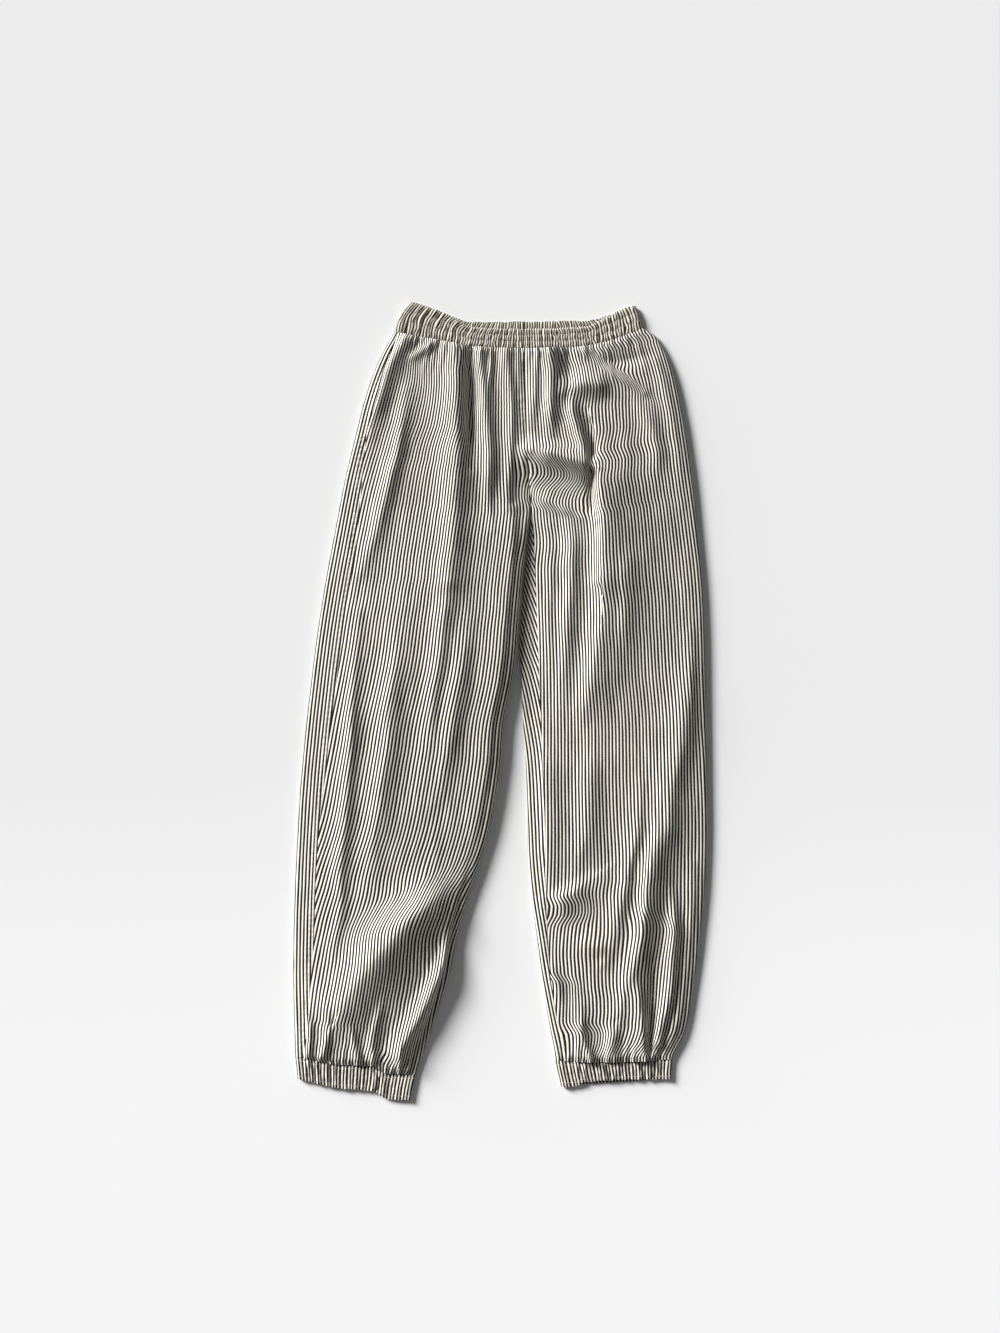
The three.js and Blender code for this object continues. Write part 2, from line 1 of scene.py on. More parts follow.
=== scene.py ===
"""Corduroy pull-on trousers laid flat, front side up, dressed over their CAD frame.

Sizes in the tables are millimetres in the frame's axes: +X to the wearer's left, +Y to the waist,
+Z up from the floor. Right and left are the wearer's. Meshes are turned to metres as they are made.
"""

import logging
from collections.abc import Callable
from dataclasses import dataclass, field
from enum import Enum
from functools import cached_property
from math import pi, radians

import bpy
import numpy as np
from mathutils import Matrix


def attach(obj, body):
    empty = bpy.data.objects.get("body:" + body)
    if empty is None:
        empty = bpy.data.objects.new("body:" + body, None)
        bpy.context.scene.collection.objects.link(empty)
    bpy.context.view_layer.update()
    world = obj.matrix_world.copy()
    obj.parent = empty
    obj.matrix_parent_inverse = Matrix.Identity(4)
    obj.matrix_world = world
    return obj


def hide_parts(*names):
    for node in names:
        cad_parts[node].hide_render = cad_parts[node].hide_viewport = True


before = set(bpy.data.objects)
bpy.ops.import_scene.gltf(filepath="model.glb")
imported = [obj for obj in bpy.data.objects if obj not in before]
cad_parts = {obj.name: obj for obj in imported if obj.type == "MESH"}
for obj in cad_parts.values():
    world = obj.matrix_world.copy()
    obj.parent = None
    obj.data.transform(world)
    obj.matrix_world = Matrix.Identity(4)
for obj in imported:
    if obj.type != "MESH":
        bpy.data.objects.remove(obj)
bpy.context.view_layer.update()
LOG = logging.getLogger("trousers")

Array = np.ndarray
Color = tuple[float, float, float]
Socket = bpy.types.NodeSocket
MM = 0.001

# Cloth: walls of the panels, the waistband, the cuffs and the pocket, the gap at a seam, the least
# height of the top cloth, and how far in from a leg's outer and inner edge its folds are full
CLOTH = 1.0
BAND_CLOTH = 2.2
CUFF_CLOTH = 1.6
FACING_CLOTH = 0.8
SEAM_GAP = 0.12
LEAST_TOP = 4.0
EDGE_FADE = 15.0
INNER_FADE = 9.0

# Crotch: where the legs part, how far above it the cloth begins to turn down and the legs to part,
# over what length below it the inseam turns under, and how far the cloth reaches under a leg at
# the inseam and the side seam
CROTCH_Y = 241.0
CLOSING = 21.0
PARTING = 48.0
INSEAM_TURN = 60.0
INSEAM_UNDER = 9.0
SIDE_SEAM_UNDER = 14.0

# Stripes: one cream wale and one dark furrow, measured across the flat cloth
STRIPE_PITCH = 4.3
UV_UNIT = 100.0

# Ending of a cloth piece's name, after its CAD node, and how sharp an edge of its wall stays
SUFFIX = "_cloth"
RIM_ANGLE = radians(55.0)


def smooth(value: Array) -> Array:
    """Ease a share from nought to one.

    Args:
        value: Shares, which may lie outside the range.

    Returns:
        The eased shares, between nought and one.
    """
    t = np.clip(value, 0.0, 1.0)
    return t * t * (3.0 - 2.0 * t)


def mix(first: Array, second: Array, share: Array) -> Array:
    """Return the value a share of the way from the first to the second."""
    return first + (second - first) * share


class Track:
    """A smooth line through the rows of a table, level past both ends."""

    def __init__(self, places: list[float], values: list[float]) -> None:
        """Keep the rows in rising order, with a slope for each.

        Args:
            places: The table's first column.
            values: The column that this line follows.
        """
        order = np.argsort(places)
        self.places = np.array(places, float)[order]
        self.values = np.array(values, float)[order]
        before = np.r_[0, np.arange(len(order) - 1)]
        after = np.r_[np.arange(1, len(order)), len(order) - 1]
        run = self.places[after] - self.places[before]
        self.slopes = (self.values[after] - self.values[before]) / run

    def __call__(self, at: Array) -> Array:
        """Read the line.

        Args:
            at: Places along the table's first column.

        Returns:
            The values there.
        """
        at = np.clip(at, self.places[0], self.places[-1])
        i = np.clip(np.searchsorted(self.places, at, side="right") - 1, 0, len(self.places) - 2)
        span = self.places[i + 1] - self.places[i]
        t = (at - self.places[i]) / span
        rise = (1.0 - t) ** 2
        fall = t * t
        start = self.values[i] * rise * (1.0 + 2.0 * t) + self.slopes[i] * span * t * rise
        end = self.values[i + 1] * fall * (3.0 - 2.0 * t) - self.slopes[i + 1] * span * fall * (1.0 - t)
        return start + end


def table(names: list[str], rows: list[tuple[float, ...]]) -> dict[str, Track]:
    """Turn a table into a smooth line for each column after its first.

    Args:
        names: Column names; the first is the place.
        rows: One tuple for each section.

    Returns:
        The lines by column name.
    """
    columns = list(zip(*rows))
    return {name: Track(columns[0], columns[k + 1]) for k, name in enumerate(names[1:])}


# Edges and seams as they lie: a row for each section, from the waist to the cuffs
SECTIONS = table(
    ["y", "right_side", "right_seam", "left_side"],
    [
        (485, -125, -120, 172),
        (466, -130, -125, 177),
        (457, -134, -128, 192),
        (432, -148, -139, 207),
        (401, -161, -150, 218),
        (370, -171, -158, 225),
        (338, -179, -166, 231),
        (276, -194, -172, 240),
        (214, -206, -178, 246),
        (150, -218, -186, 252),
        (88, -228, -196, 255),
        (26, -236, -204, 256),
        (-36, -243, -212, 257),
        (-99, -249, -219, 258),
        (-161, -253, -226, 258.5),
        (-224, -256, -230, 256),
        (-286, -258, -232, 250),
        (-349, -258.5, -236, 242),
        (-411, -257, -241, 231),
        (-445, -256, -246, 215),
    ],
)
CENTRE_SEAM = table(
    ["y", "x"],
    [(476, 28.5), (439, 29.5), (376, 30.5), (314, 33.5), (276, 36), (241, 38.5)],
)["x"]
INNER_LEGS = table(
    ["y", "right_inner", "left_inner", "left_inseam"],
    [
        (241, 38.5, 38.5, 38.5),
        (214, 35, 36.5, 41),
        (171, 29.5, 31.5, 43),
        (101, 23, 25.5, 46),
        (66, 20.5, 23.5, 47.5),
        (31, 16, 26, 48.5),
        (-21, 5.5, 28, 50.5),
        (-74, 1, 31.5, 52.5),
        (-146, -10.5, 34.5, 55),
        (-194, -24, 35.5, 56),
        (-244, -40.5, 39, 57),
        (-289, -53, 45, 59),
        (-338, -63, 51, 62),
        (-388, -79, 58.5, 69),
        (-440, -96.5, 67.5, 76.5),
        (-466, -105.5, 69, 78),
    ],
)

# Heights of the folded edges, and how far the cloth swells between them
HEIGHTS = table(
    ["y", "right_side", "right_inner", "left_inner", "left_side", "swell"],
    [
        (470, 8.5, 9.5, 9.5, 9, 1),
        (400, 7, 8, 8, 10, 5),
        (300, 6.5, 7, 7, 10, 7),
        (262, 6.5, 6.5, 6.5, 10, 7),
        (241, 6.5, 7.5, 5.5, 10, 7),
        (205, 6.5, 13.5, 4.5, 10, 7),
        (60, 6.5, 16.5, 4.2, 10, 7),
        (-100, 6, 15, 5, 9.5, 6),
        (-300, 6.5, 12, 7, 9, 6),
        (-400, 7, 9.5, 7, 8, 4),
        (-445, 7, 7, 7, 7.5, 2),
    ],
)

# Waistband: its sewn line, its front and back top edges, and its two ends
WAIST = table(
    ["x", "join", "front_top", "back_top"],
    [
        (-134, 462, 500, 500),
        (-111, 456, 497, 497),
        (-88, 452, 491, 491),
        (-57, 446, 477, 479),
        (-44, 443, 469.5, 474.5),
        (-25, 441, 466, 473),
        (30, 439.5, 464, 473.5),
        (93, 441, 466, 474.5),
        (112, 443.5, 468.5, 475),
        (137, 449.5, 481, 482),
        (156, 456, 489.5, 489.5),
        (176, 464.5, 494.5, 494.5),
    ],
)
WAIST_ENDS = table(["up", "right", "left"], [(0, -132, 177), (0.55, -125, 174), (1, -112, 169)])
WAIST_CENTRE = 29.5

# Thickness of the bands as they lie, and how deep they are from seam to edge
BAND_HEIGHT = 9.2
BAND_DEEP = 30.0
CUFF_HEIGHT = 6.8
CUFF_DEEP = 25.0

# Cuffs: the sewn line and the hem of each, and its two ends at shares of the way down
RIGHT_CUFF = table(
    ["x", "join", "hem"],
    [
        (-256, -443, -471),
        (-233, -449, -476.5),
        (-205, -453.5, -483),
        (-156, -456.5, -488),
        (-146, -464, -495),
        (-130, -465.5, -498),
        (-105, -466.5, -497.5),
    ],
)
LEFT_CUFF = table(
    ["x", "join", "hem"],
    [
        (69, -449, -481.5),
        (94, -450, -481),
        (104, -450.5, -476.5),
        (146, -450.5, -473),
        (180, -449, -472.5),
        (214, -447, -472),
    ],
)
RIGHT_CUFF_ENDS = table(["down", "low", "high"], [(0, -256, -105.5), (1, -253, -112)])
LEFT_CUFF_ENDS = table(["down", "low", "high"], [(0, 68.5, 214.5), (1, 76, 213)])

# Where the stripes run: an inner and an outer line of the cloth, set for each leg. The stripes are
# counted out evenly between them over the cloth's width, from the share of it at the anchor.
RIGHT_GRAIN = table(
    ["y", "outer"],
    [
        (470, -125),
        (440, -134),
        (400, -147),
        (376, -155),
        (340, -168),
        (314, -177),
        (276, -190),
        (241, -200),
        (202, -208),
        (171, -213),
        (101, -221),
        (31, -226),
        (-36, -231),
        (-99, -237),
        (-161, -243),
        (-224, -251),
        (-286, -258),
        (-349, -264),
        (-411, -267),
        (-445, -266),
    ],
)
GRAIN_INSET = {"right": 8.0, "left": 6.0}
GRAIN_EDGE = 8.0
GRAIN_WIDTH = table(
    ["y", "right", "left"],
    [
        (470, 248, 214),
        (276, 252, 216),
        (213, 252, 210),
        (151, 250, 206),
        (88, 244, 204),
        (26, 237, 202),
        (-37, 229, 198),
        (-99, 223, 193),
        (-162, 217, 190),
        (-224, 206, 186),
        (-287, 195, 176),
        (-349, 189, 166),
        (-412, 186, 158),
    ],
)
GRAIN_ANCHOR = {"right": 0.0, "left": 0.5}

# Slant of the stripes on the back panel that shows between the legs: shift along the cloth
BACK_SLANT = table(
    ["y", "shift"],
    [(480, 108), (241, 108), (150, 62), (60, 24), (-40, 4), (-160, 0), (-300, -4), (-450, -10)],
)["shift"]


# Folds: points along one, its ends as a share of its length, the sharpness of its crest, how much
# higher it stands than in the solids, and where it has died away, in reaches
FOLD_POINTS = 17
FOLD_ENDING = 0.35
FOLD_CREST = 1.7
FOLD_LIFT = 1.28
FOLD_MARGIN = 4.0


@dataclass(frozen=True)
class Fold:
    """A ridge or hollow bowed through three points.

    Reach is how far it spreads to the right and left hand of someone who walks it from its first
    point. First and last are the share of its height at its two ends. Lean throws its crest over
    to the left hand (above nought) or the right (below), as a share of its height.
    """

    x0: float
    y0: float
    x1: float
    y1: float
    x2: float
    y2: float
    height: float
    right_reach: float
    left_reach: float
    first: float
    last: float
    lean: float = 0.0

    @cached_property
    def chain(self) -> Array:
        """Find points along the bow.

        Returns:
            Rows of X and Y.
        """
        t = np.linspace(0.0, 1.0, FOLD_POINTS)[:, None]
        start = np.array([self.x0, self.y0])
        end = np.array([self.x2, self.y2])
        knee = 2.0 * np.array([self.x1, self.y1]) - (start + end) / 2.0
        return (1 - t) ** 2 * start + 2 * t * (1 - t) * knee + t * t * end

    def relief(self, x: Array, y: Array) -> tuple[Array, Array, Array]:
        """Find the height that the fold adds, and the way its crest leans.

        Args:
            x: Places along X.
            y: Places along Y.

        Returns:
            The heights, and the crest's shift along X and Y.
        """
        height = np.zeros_like(x)
        shift_x = np.zeros_like(x)
        shift_y = np.zeros_like(x)
        margin = FOLD_MARGIN * max(self.right_reach, self.left_reach)
        low = self.chain.min(axis=0) - margin
        high = self.chain.max(axis=0) + margin
        near = (x > low[0]) & (x < high[0]) & (y > low[1]) & (y < high[1])
        if not near.any():
            return height, shift_x, shift_y
        px = x[near]
        py = y[near]
        nearest = np.full(px.shape, np.inf)
        side = np.zeros(px.shape)
        along = np.zeros(px.shape)
        across = np.zeros(px.shape + (2,))
        steps = len(self.chain) - 1
        for i in range(steps):
            ax, ay = self.chain[i]
            dx, dy = self.chain[i + 1] - self.chain[i]
            t = np.clip(((px - ax) * dx + (py - ay) * dy) / (dx * dx + dy * dy), 0.0, 1.0)
            gap = np.hypot(px - ax - t * dx, py - ay - t * dy)
            closer = gap < nearest
            nearest = np.where(closer, gap, nearest)
            side = np.where(closer, dx * (py - ay) - dy * (px - ax), side)
            along = np.where(closer, (i + t) / steps, along)
            across[closer] = np.array([-dy, dx]) / np.hypot(dx, dy)
        reach = np.where(side > 0, self.left_reach, self.right_reach)
        first = mix(self.first, 1.0, smooth(along / FOLD_ENDING))
        last = mix(self.last, 1.0, smooth((1.0 - along) / FOLD_ENDING))
        crest = np.exp(-((nearest / reach) ** FOLD_CREST))
        height[near] = FOLD_LIFT * self.height * first * last * crest
        shift_x[near] = height[near] * self.lean * across[:, 0]
        shift_y[near] = height[near] * self.lean * across[:, 1]
        return height, shift_x, shift_y


FOLDS = [
    Fold(*row)
    for row in (
        # right hip and thigh
        (-54, 446, -51, 320, -60, 150, 9, 20, 15, 0.9, 0.8, -0.2),
        (-36, 436, -35, 370, -38, 290, -11, 6, 7, 0.4, 0.3),
        (-60, 150, -76, 50, -93, -100, 5, 12, 12, 1, 0.2),
        (-22, 438, -16, 330, -10, 215, 6, 8, 7, 1, 0.4),
        (9, 438, 13, 350, 9, 240, 4, 8, 6, 1, 0.9),
        (14, 240, 6, 60, -38, -195, 4, 24, 8, 1, 0.3),
        (-78, 451, -90, 443, -109, 428, 5, 6, 6, 0.8, 0.6),
        (-120, 450, -143, 395, -163, 335, 6.5, 10, 11, 0.9, 0.4),
        (-117, 385, -135, 290, -172, 160, 6.5, 10, 10, 0.3, 0.4),
        (-128, 110, -142, -50, -167, -235, 6, 12, 16, 0.2, 0.2),
        (-55, 100, -55, 20, -62, -60, 3, 7, 7, 0.2, 0.2),
        (-40, 100, -53, 0, -80, -120, 5, 18, 12, 0.3, 0.3),
        (-178, 110, -190, -110, -207, -330, 6, 10, 9, 0.3, 0.3),
        # right shin and cuff
        (-56, -227, -124, -277, -196, -378, 17, 23, 36, 0.2, 0.7, 0.15),
        (-53, -262, -80, -340, -128, -440, 10, 10, 13, 0.4, 1, 0.2),
        (-140, -345, -156, -410, -158, -446, 5, 8, 8, 0.2, 1),
        (-218, -355, -214, -400, -222, -440, 6, 8, 6, 0.3, 1),
        (-190, -390, -183, -420, -180, -446, 5, 7, 7, 0.2, 1),
        (-237, -388, -238, -415, -241, -440, 4, 5, 5, 0.3, 1),
        # left hip and thigh
        (42, 438, 42, 395, 40, 345, 4, 8, 8, 1, 0.2),
        (64, 440, 67, 385, 66, 330, 8, 12, 8, 1, 0.3, -0.2),
        (84, 436, 86, 390, 86, 350, -4, 5, 6, 0.8, 0.4),
        (88, 394, 112, 399, 144, 391, 9, 19, 17, 0.8, 0.2, -0.2),
        (99, 441, 136, 416, 178, 384, 5, 7, 8, 0.7, 0.5),
        (118, 430, 150, 426, 190, 432, -3, 8, 8, 0.3, 0.3),
        (88, 385, 97, 345, 112, 298, 8, 12, 7, 0.6, 1, -0.3),
        (42, 312, 75, 303, 113, 295, 15, 17, 12, 0.5, 1),
        (41, 252, 68, 243, 97, 228, 5, 9, 8, 0.5, 0.3),
        (118, 330, 131, 240, 129, 150, 11, 12, 38, 0.3, 1, -0.2),
        (113, 345, 115, 290, 117, 240, -9, 5, 5, 0.2, 0.5),
        (129, 150, 120, 60, 98, -40, 9, 12, 32, 1, 0.1),
        (150, 200, 155, 140, 142, 40, 7, 12, 22, 0.3, 0.5),
        (85, 222, 88, 140, 72, -30, 6.5, 12, 12, 0.4, 0.2),
        (58, 215, 62, 120, 60, 10, 3, 8, 8, 0.4, 0.3),
        (40, 230, 36, 120, 38, -20, -4, 8, 6, 0.4, 0.3),
        (165, 380, 190, 330, 196, 270, 4, 12, 10, 0.3, 0.2),
        (200, 425, 220, 351, 229, 245, 4, 10, 10, 0.6, 0.2),
        # left shin and cuff
        (246, 80, 221, -80, 194, -215, 7, 20, 14, 0.3, 0.8),
        (112, -40, 110, -130, 96, -215, 5, 18, 16, 0.3, 0.3),
        (50, -40, 55, -130, 62, -235, 6, 6, 30, 0.3, 0.3),
        (176, -105, 160, -215, 130, -325, 4.5, 12, 9, 0.3, 0.4),
        (200, -118, 182, -240, 149, -392, 10, 9, 20, 0.4, 0.4),
        (191, -320, 190, -390, 187, -435, -5, 6, 6, 0.4, 0.6),
        (214, -235, 216, -320, 198, -425, 7, 9, 7, 0.3, 0.8),
        (166, -330, 174, -390, 178, -446, 7.5, 14, 8, 0.3, 0.8),
        (243, -200, 240, -320, 216, -430, 5, 8, 7, 0.3, 0.8),
        (62, -244, 85, -240, 112, -222, 8, 24, 10, 0.4, 0.3),
        (95, -292, 115, -304, 140, -300, 4, 14, 14, 0.3, 0.3),
        (57, -334, 70, -347, 77, -387, 3.5, 6, 7, 0.4, 0.2),
        (103, -385, 104, -415, 112, -446, 6, 9, 6, 0.3, 1),
        (145, -400, 140, -430, 140, -446, 5, 9, 8, 0.3, 1),
    )
]


@dataclass(frozen=True)
class Facet:
    """The face of a fold, on which the stripes run at a slant of their own.

    It lies round a line from its first to its second point. Turn is how far the stripes drift to
    the wearer's left for each unit that they run down across it. Below it they keep their new
    place, and drift back over the distance carried.
    """

    x0: float
    y0: float
    x1: float
    y1: float
    reach: float
    turn: float
    carried: float = 75.0

    def shift(self, x: Array, y: Array) -> Array:
        """Find how far the stripes are shifted.

        Args:
            x: Places along X.
            y: Places along Y.

        Returns:
            The shifts along X.
        """
        middle_x = (self.x0 + self.x1) / 2
        middle_y = (self.y0 + self.y1) / 2
        half = np.hypot(self.x1 - self.x0, self.y1 - self.y0) / 2
        way_x = (self.x1 - self.x0) / (2 * half)
        way_y = (self.y1 - self.y0) / (2 * half)
        along = ((x - middle_x) * way_x + (y - middle_y) * way_y) / half
        down = ((x - middle_x) * way_y - (y - middle_y) * way_x) * np.sign(way_x)
        passed = smooth((down + self.reach) / (2 * self.reach))
        back = 1 - smooth((down - self.reach) / self.carried)
        return -2 * self.reach * self.turn * passed * back * np.exp(-np.abs(along) ** 3)


FACETS = [
    Facet(*row)
    for row in (
        # right leg
        (-62, 452, -112, 428, 8, -0.5),
        (-38, -208, -196, -292, 19, -0.4, 260),
        (-58, -280, -118, -420, 8, -0.35),
        # left hip
        (94, 444, 188, 378, 7, 0.85),
        (100, 430, 168, 412, 7, -0.5),
        (30, 306, 108, 285, 9, 0.75),
        (32, 274, 112, 268, 12, -0.6),
        (30, 249, 102, 231, 7, 0.6),
        # left shin
        (52, -250, 112, -246, 8, 0.36),
        (54, -276, 114, -270, 9, -0.36),
        (50, -342, 96, -350, 7, 0.45),
        (74, -408, 132, -408, 9, 0.45),
        (172, -258, 226, -284, 11, 0.3),
    )
]


class Noise:
    """Smooth uneven values between minus one and one, the same on every run."""

    def __init__(self, seed: int, size: int = 64) -> None:
        """Draw the lattice.

        Args:
            seed: Seed of the draw.
            size: Cells along each side of the lattice, which then repeats.
        """
        self.size = size
        self.lattice = np.random.default_rng(seed).uniform(-1.0, 1.0, (size, size))

    def __call__(self, x: Array, y: Array, cell_x: float, cell_y: float) -> Array:
        """Read the noise.

        Args:
            x: Places along X.
            y: Places along Y.
            cell_x: Width of a cell.
            cell_y: Length of a cell.

        Returns:
            The values there.
        """
        u = x / cell_x
        v = y / cell_y
        i = np.floor(u).astype(int)
        j = np.floor(v).astype(int)
        s = smooth(u - i)
        t = smooth(v - j)
        grid = self.lattice
        size = self.size
        low = mix(grid[i % size, j % size], grid[(i + 1) % size, j % size], s)
        high = mix(grid[i % size, (j + 1) % size], grid[(i + 1) % size, (j + 1) % size], s)
        return mix(low, high, t)


WARP = Noise(11)
CREASES = Noise(23)
DIMPLES = Noise(37)


@dataclass(frozen=True)
class Wobble:
    """An unevenness of one size, with the length of its swings along X and Y."""

    size: float
    cell_x: float
    cell_y: float = 1.0
    from_x: float = 0.0
    from_y: float = 0.0
    noise: Noise = WARP

    def __call__(self, x: Array, y: Array | float = 0.0) -> Array:
        """Return the unevenness at places along X and Y."""
        y = np.zeros_like(x) + y + self.from_y
        return self.size * self.noise(x + self.from_x, y, self.cell_x, self.cell_y)


# Drift of the folds from their drawn lines, creases and dimples between them, and their slant
FOLD_DRIFT_X = Wobble(2.6, 34.0, 52.0)
FOLD_DRIFT_Y = Wobble(4.0, 45.0, 60.0, from_x=400.0)
CREASING = Wobble(0.55, 13.0, 46.0, noise=CREASES)
CREASE_SLANT = 0.12
DIMPLING = Wobble(0.33, 27.0, 19.0, noise=DIMPLES)
DIMPLE_SLANT = 0.3

# Unevenness of the seams that lie on top, and of the puckers and the bunched cloth beside them
SEAM_DRIFT = Wobble(0.7, 60.0, 60.0, from_y=3.3)
PUCKER_DRIFT = Wobble(2.2, 31.0)
PUCKER_UNEVENNESS = Wobble(0.25, 47.0, from_y=9.0)
BUNCH_DRIFT = Wobble(3.0, 40.0, 9.0)

# Unevenness of the bands' edges, and of their stripes between the rows of stitches
WAIST_EDGE = Wobble(0.7, 5.0)
WAIST_WEAVE = Wobble(1.5, 6.0, 7.5)
CUFF_EDGE = Wobble(0.6, 6.0, from_y=7.0)
CUFF_WEAVE = Wobble(0.5, 9.0, 14.0)


@dataclass(frozen=True)
class Fan:
    """How the pleats of an elastic seam spread out from it."""

    middle: float
    spread: float
    slant: float = 0.0

    def __call__(self, start: float) -> float:
        """Return how far a pleat drifts along X for each unit that it runs from the seam."""
        return self.slant + (start - self.middle) / self.spread


@dataclass
class Gathers:
    """Small pleats that run from an elastic seam into the cloth.

    Each starts on the sewn line, fans out from it, widens and dies away. Scatter is a share of
    their pitch, and swerve is how far one may drift from the fan.
    """

    line: Track
    low: float
    high: float
    toward: float
    pitch: float
    length: tuple[float, float]
    height: tuple[float, float]
    reach: tuple[float, float]
    fan: Fan
    seed: int
    scatter: float = 0.35
    swerve: float = 0.06
    widening: float = 0.8

    def relief(self, x: Array, y: Array) -> Array:
        """Find the height that the pleats add.

        Args:
            x: Places along X.
            y: Places along Y.

        Returns:
            The heights.
        """
        draw = np.random.default_rng(self.seed)
        from_line = np.maximum((self.line(x) - y) * self.toward, 0.0)
        height = np.zeros_like(x)
        count = int((self.high - self.low) / self.pitch)
        for k in range(count):
            start = self.low + (k + 0.5 + draw.uniform(-self.scatter, self.scatter)) * self.pitch
            length = mix(*self.length, draw.uniform() ** 2)
            rise = draw.uniform(*self.height)
            reach = draw.uniform(*self.reach)
            slope = self.fan(start) + draw.uniform(-self.swerve, self.swerve)
            spread = reach * (1.0 + self.widening * from_line / length)
            off = (x - start - slope * from_line) / spread
            height += rise * np.exp(-(off**2)) * smooth(1.0 - from_line / length)
        return height


WAIST_GATHERS = Gathers(
    WAIST["join"],
    low=-134,
    high=178,
    toward=1.0,
    pitch=6.6,
    length=(16, 90),
    height=(1.4, 4.6),
    reach=(1.6, 2.9),
    fan=Fan(WAIST_CENTRE, 420.0),
    seed=5,
)
ANKLE_PLEATS = {"pitch": 7.6, "length": (12, 60), "height": (1.4, 4.4), "reach": (1.8, 3.0)}
RIGHT_GATHERS = Gathers(
    RIGHT_CUFF["join"],
    low=-254,
    high=-104,
    toward=-1.0,
    fan=Fan(-180.0, -500.0, 0.12),
    seed=6,
    **ANKLE_PLEATS,
)
LEFT_GATHERS = Gathers(
    LEFT_CUFF["join"],
    low=70,
    high=213,
    toward=-1.0,
    fan=Fan(120.0, 420.0),
    seed=7,
    **ANKLE_PLEATS,
)


class Side(Enum):
    """The wearer's right and left."""

    RIGHT = "right"
    LEFT = "left"


@dataclass(frozen=True)
class Leg:
    """One leg and its half of the hips, as a flattened tube."""

    side: Side
    cuff: dict[str, Track]
    ankle: tuple[float, float]
    hip: float
    gathers: Gathers

    @property
    def inner_is_high(self) -> bool:
        """Whether the inner edge is the one further along X."""
        return self.side is Side.RIGHT

    @property
    def edge(self) -> str:
        """Column of the tables that holds the leg's outer edge."""
        return f"{self.side.value}_side"

    @property
    def inside(self) -> str:
        """Column of the tables that holds the leg's inner edge."""
        return f"{self.side.value}_inner"

    def inner(self, y: Array) -> Array:
        """Find the leg's inner edge, which is the centre seam above the crotch.

        Args:
            y: Places along Y.

        Returns:
            X of the edge.
        """
        outward = -1.0 if self.inner_is_high else 1.0
        below = INNER_LEGS[self.inside](y)
        return np.where(y > CROTCH_Y, CENTRE_SEAM(y), below) + outward * SEAM_GAP / 2

    def front_border(self, y: Array) -> Array:
        """Find the front's border towards the centre.

        Args:
            y: Places along Y.

        Returns:
            X of the border.
        """
        if self.inner_is_high:
            return self.inner(y)
        return np.where(y > CROTCH_Y, CENTRE_SEAM(y), INNER_LEGS["left_inseam"](y))

    def grain_inner(self, y: Array) -> Array:
        """Return X of the inner line that the stripes follow."""
        inward = -1.0 if self.inner_is_high else 1.0
        return self.front_border(y) + inward * GRAIN_INSET[self.side.value]

    def grain_outer(self, y: Array) -> Array:
        """Find the outer line that the stripes follow.

        Args:
            y: Places along Y.

        Returns:
            X of the line.
        """
        if self.side is Side.RIGHT:
            return RIGHT_GRAIN["outer"](y)
        return SECTIONS["left_side"](y) - GRAIN_EDGE

    def waist_under(self, x: Array) -> Array:
        """Return Y of the waistband's sewn line underneath, straight from side to centre."""
        ends = WAIST["join"](np.array([self.hip, WAIST_CENTRE]))
        return mix(ends[0], ends[1], (x - self.hip) / (WAIST_CENTRE - self.hip))

    def ankle_under(self, x: Array, column: str = "join") -> Array:
        """Find the cuff's sewn line or hem underneath, straight from end to end.

        Args:
            x: Places along X.
            column: The line's column in the cuff's table, join or hem.

        Returns:
            Y of the line.
        """
        low, high = self.ankle
        ends = self.cuff[column](np.array([low, high]))
        return mix(ends[0], ends[1], (x - low) / (high - low))


RIGHT_LEG = Leg(Side.RIGHT, RIGHT_CUFF, (-256.0, -105.0), -133.0, RIGHT_GATHERS)
LEFT_LEG = Leg(Side.LEFT, LEFT_CUFF, (69.0, 214.0), 177.0, LEFT_GATHERS)


def closing(y: Array) -> Array:
    """Return the turn of the cloth round the inner edge: a quarter turn at the crotch."""
    return (pi / 2) * smooth((CROTCH_Y + CLOSING - y) / CLOSING)


def parting(y: Array) -> Array:
    """Return how far the two legs have parted into tubes of their own."""
    return smooth((CROTCH_Y + CLOSING + PARTING - y) / PARTING)


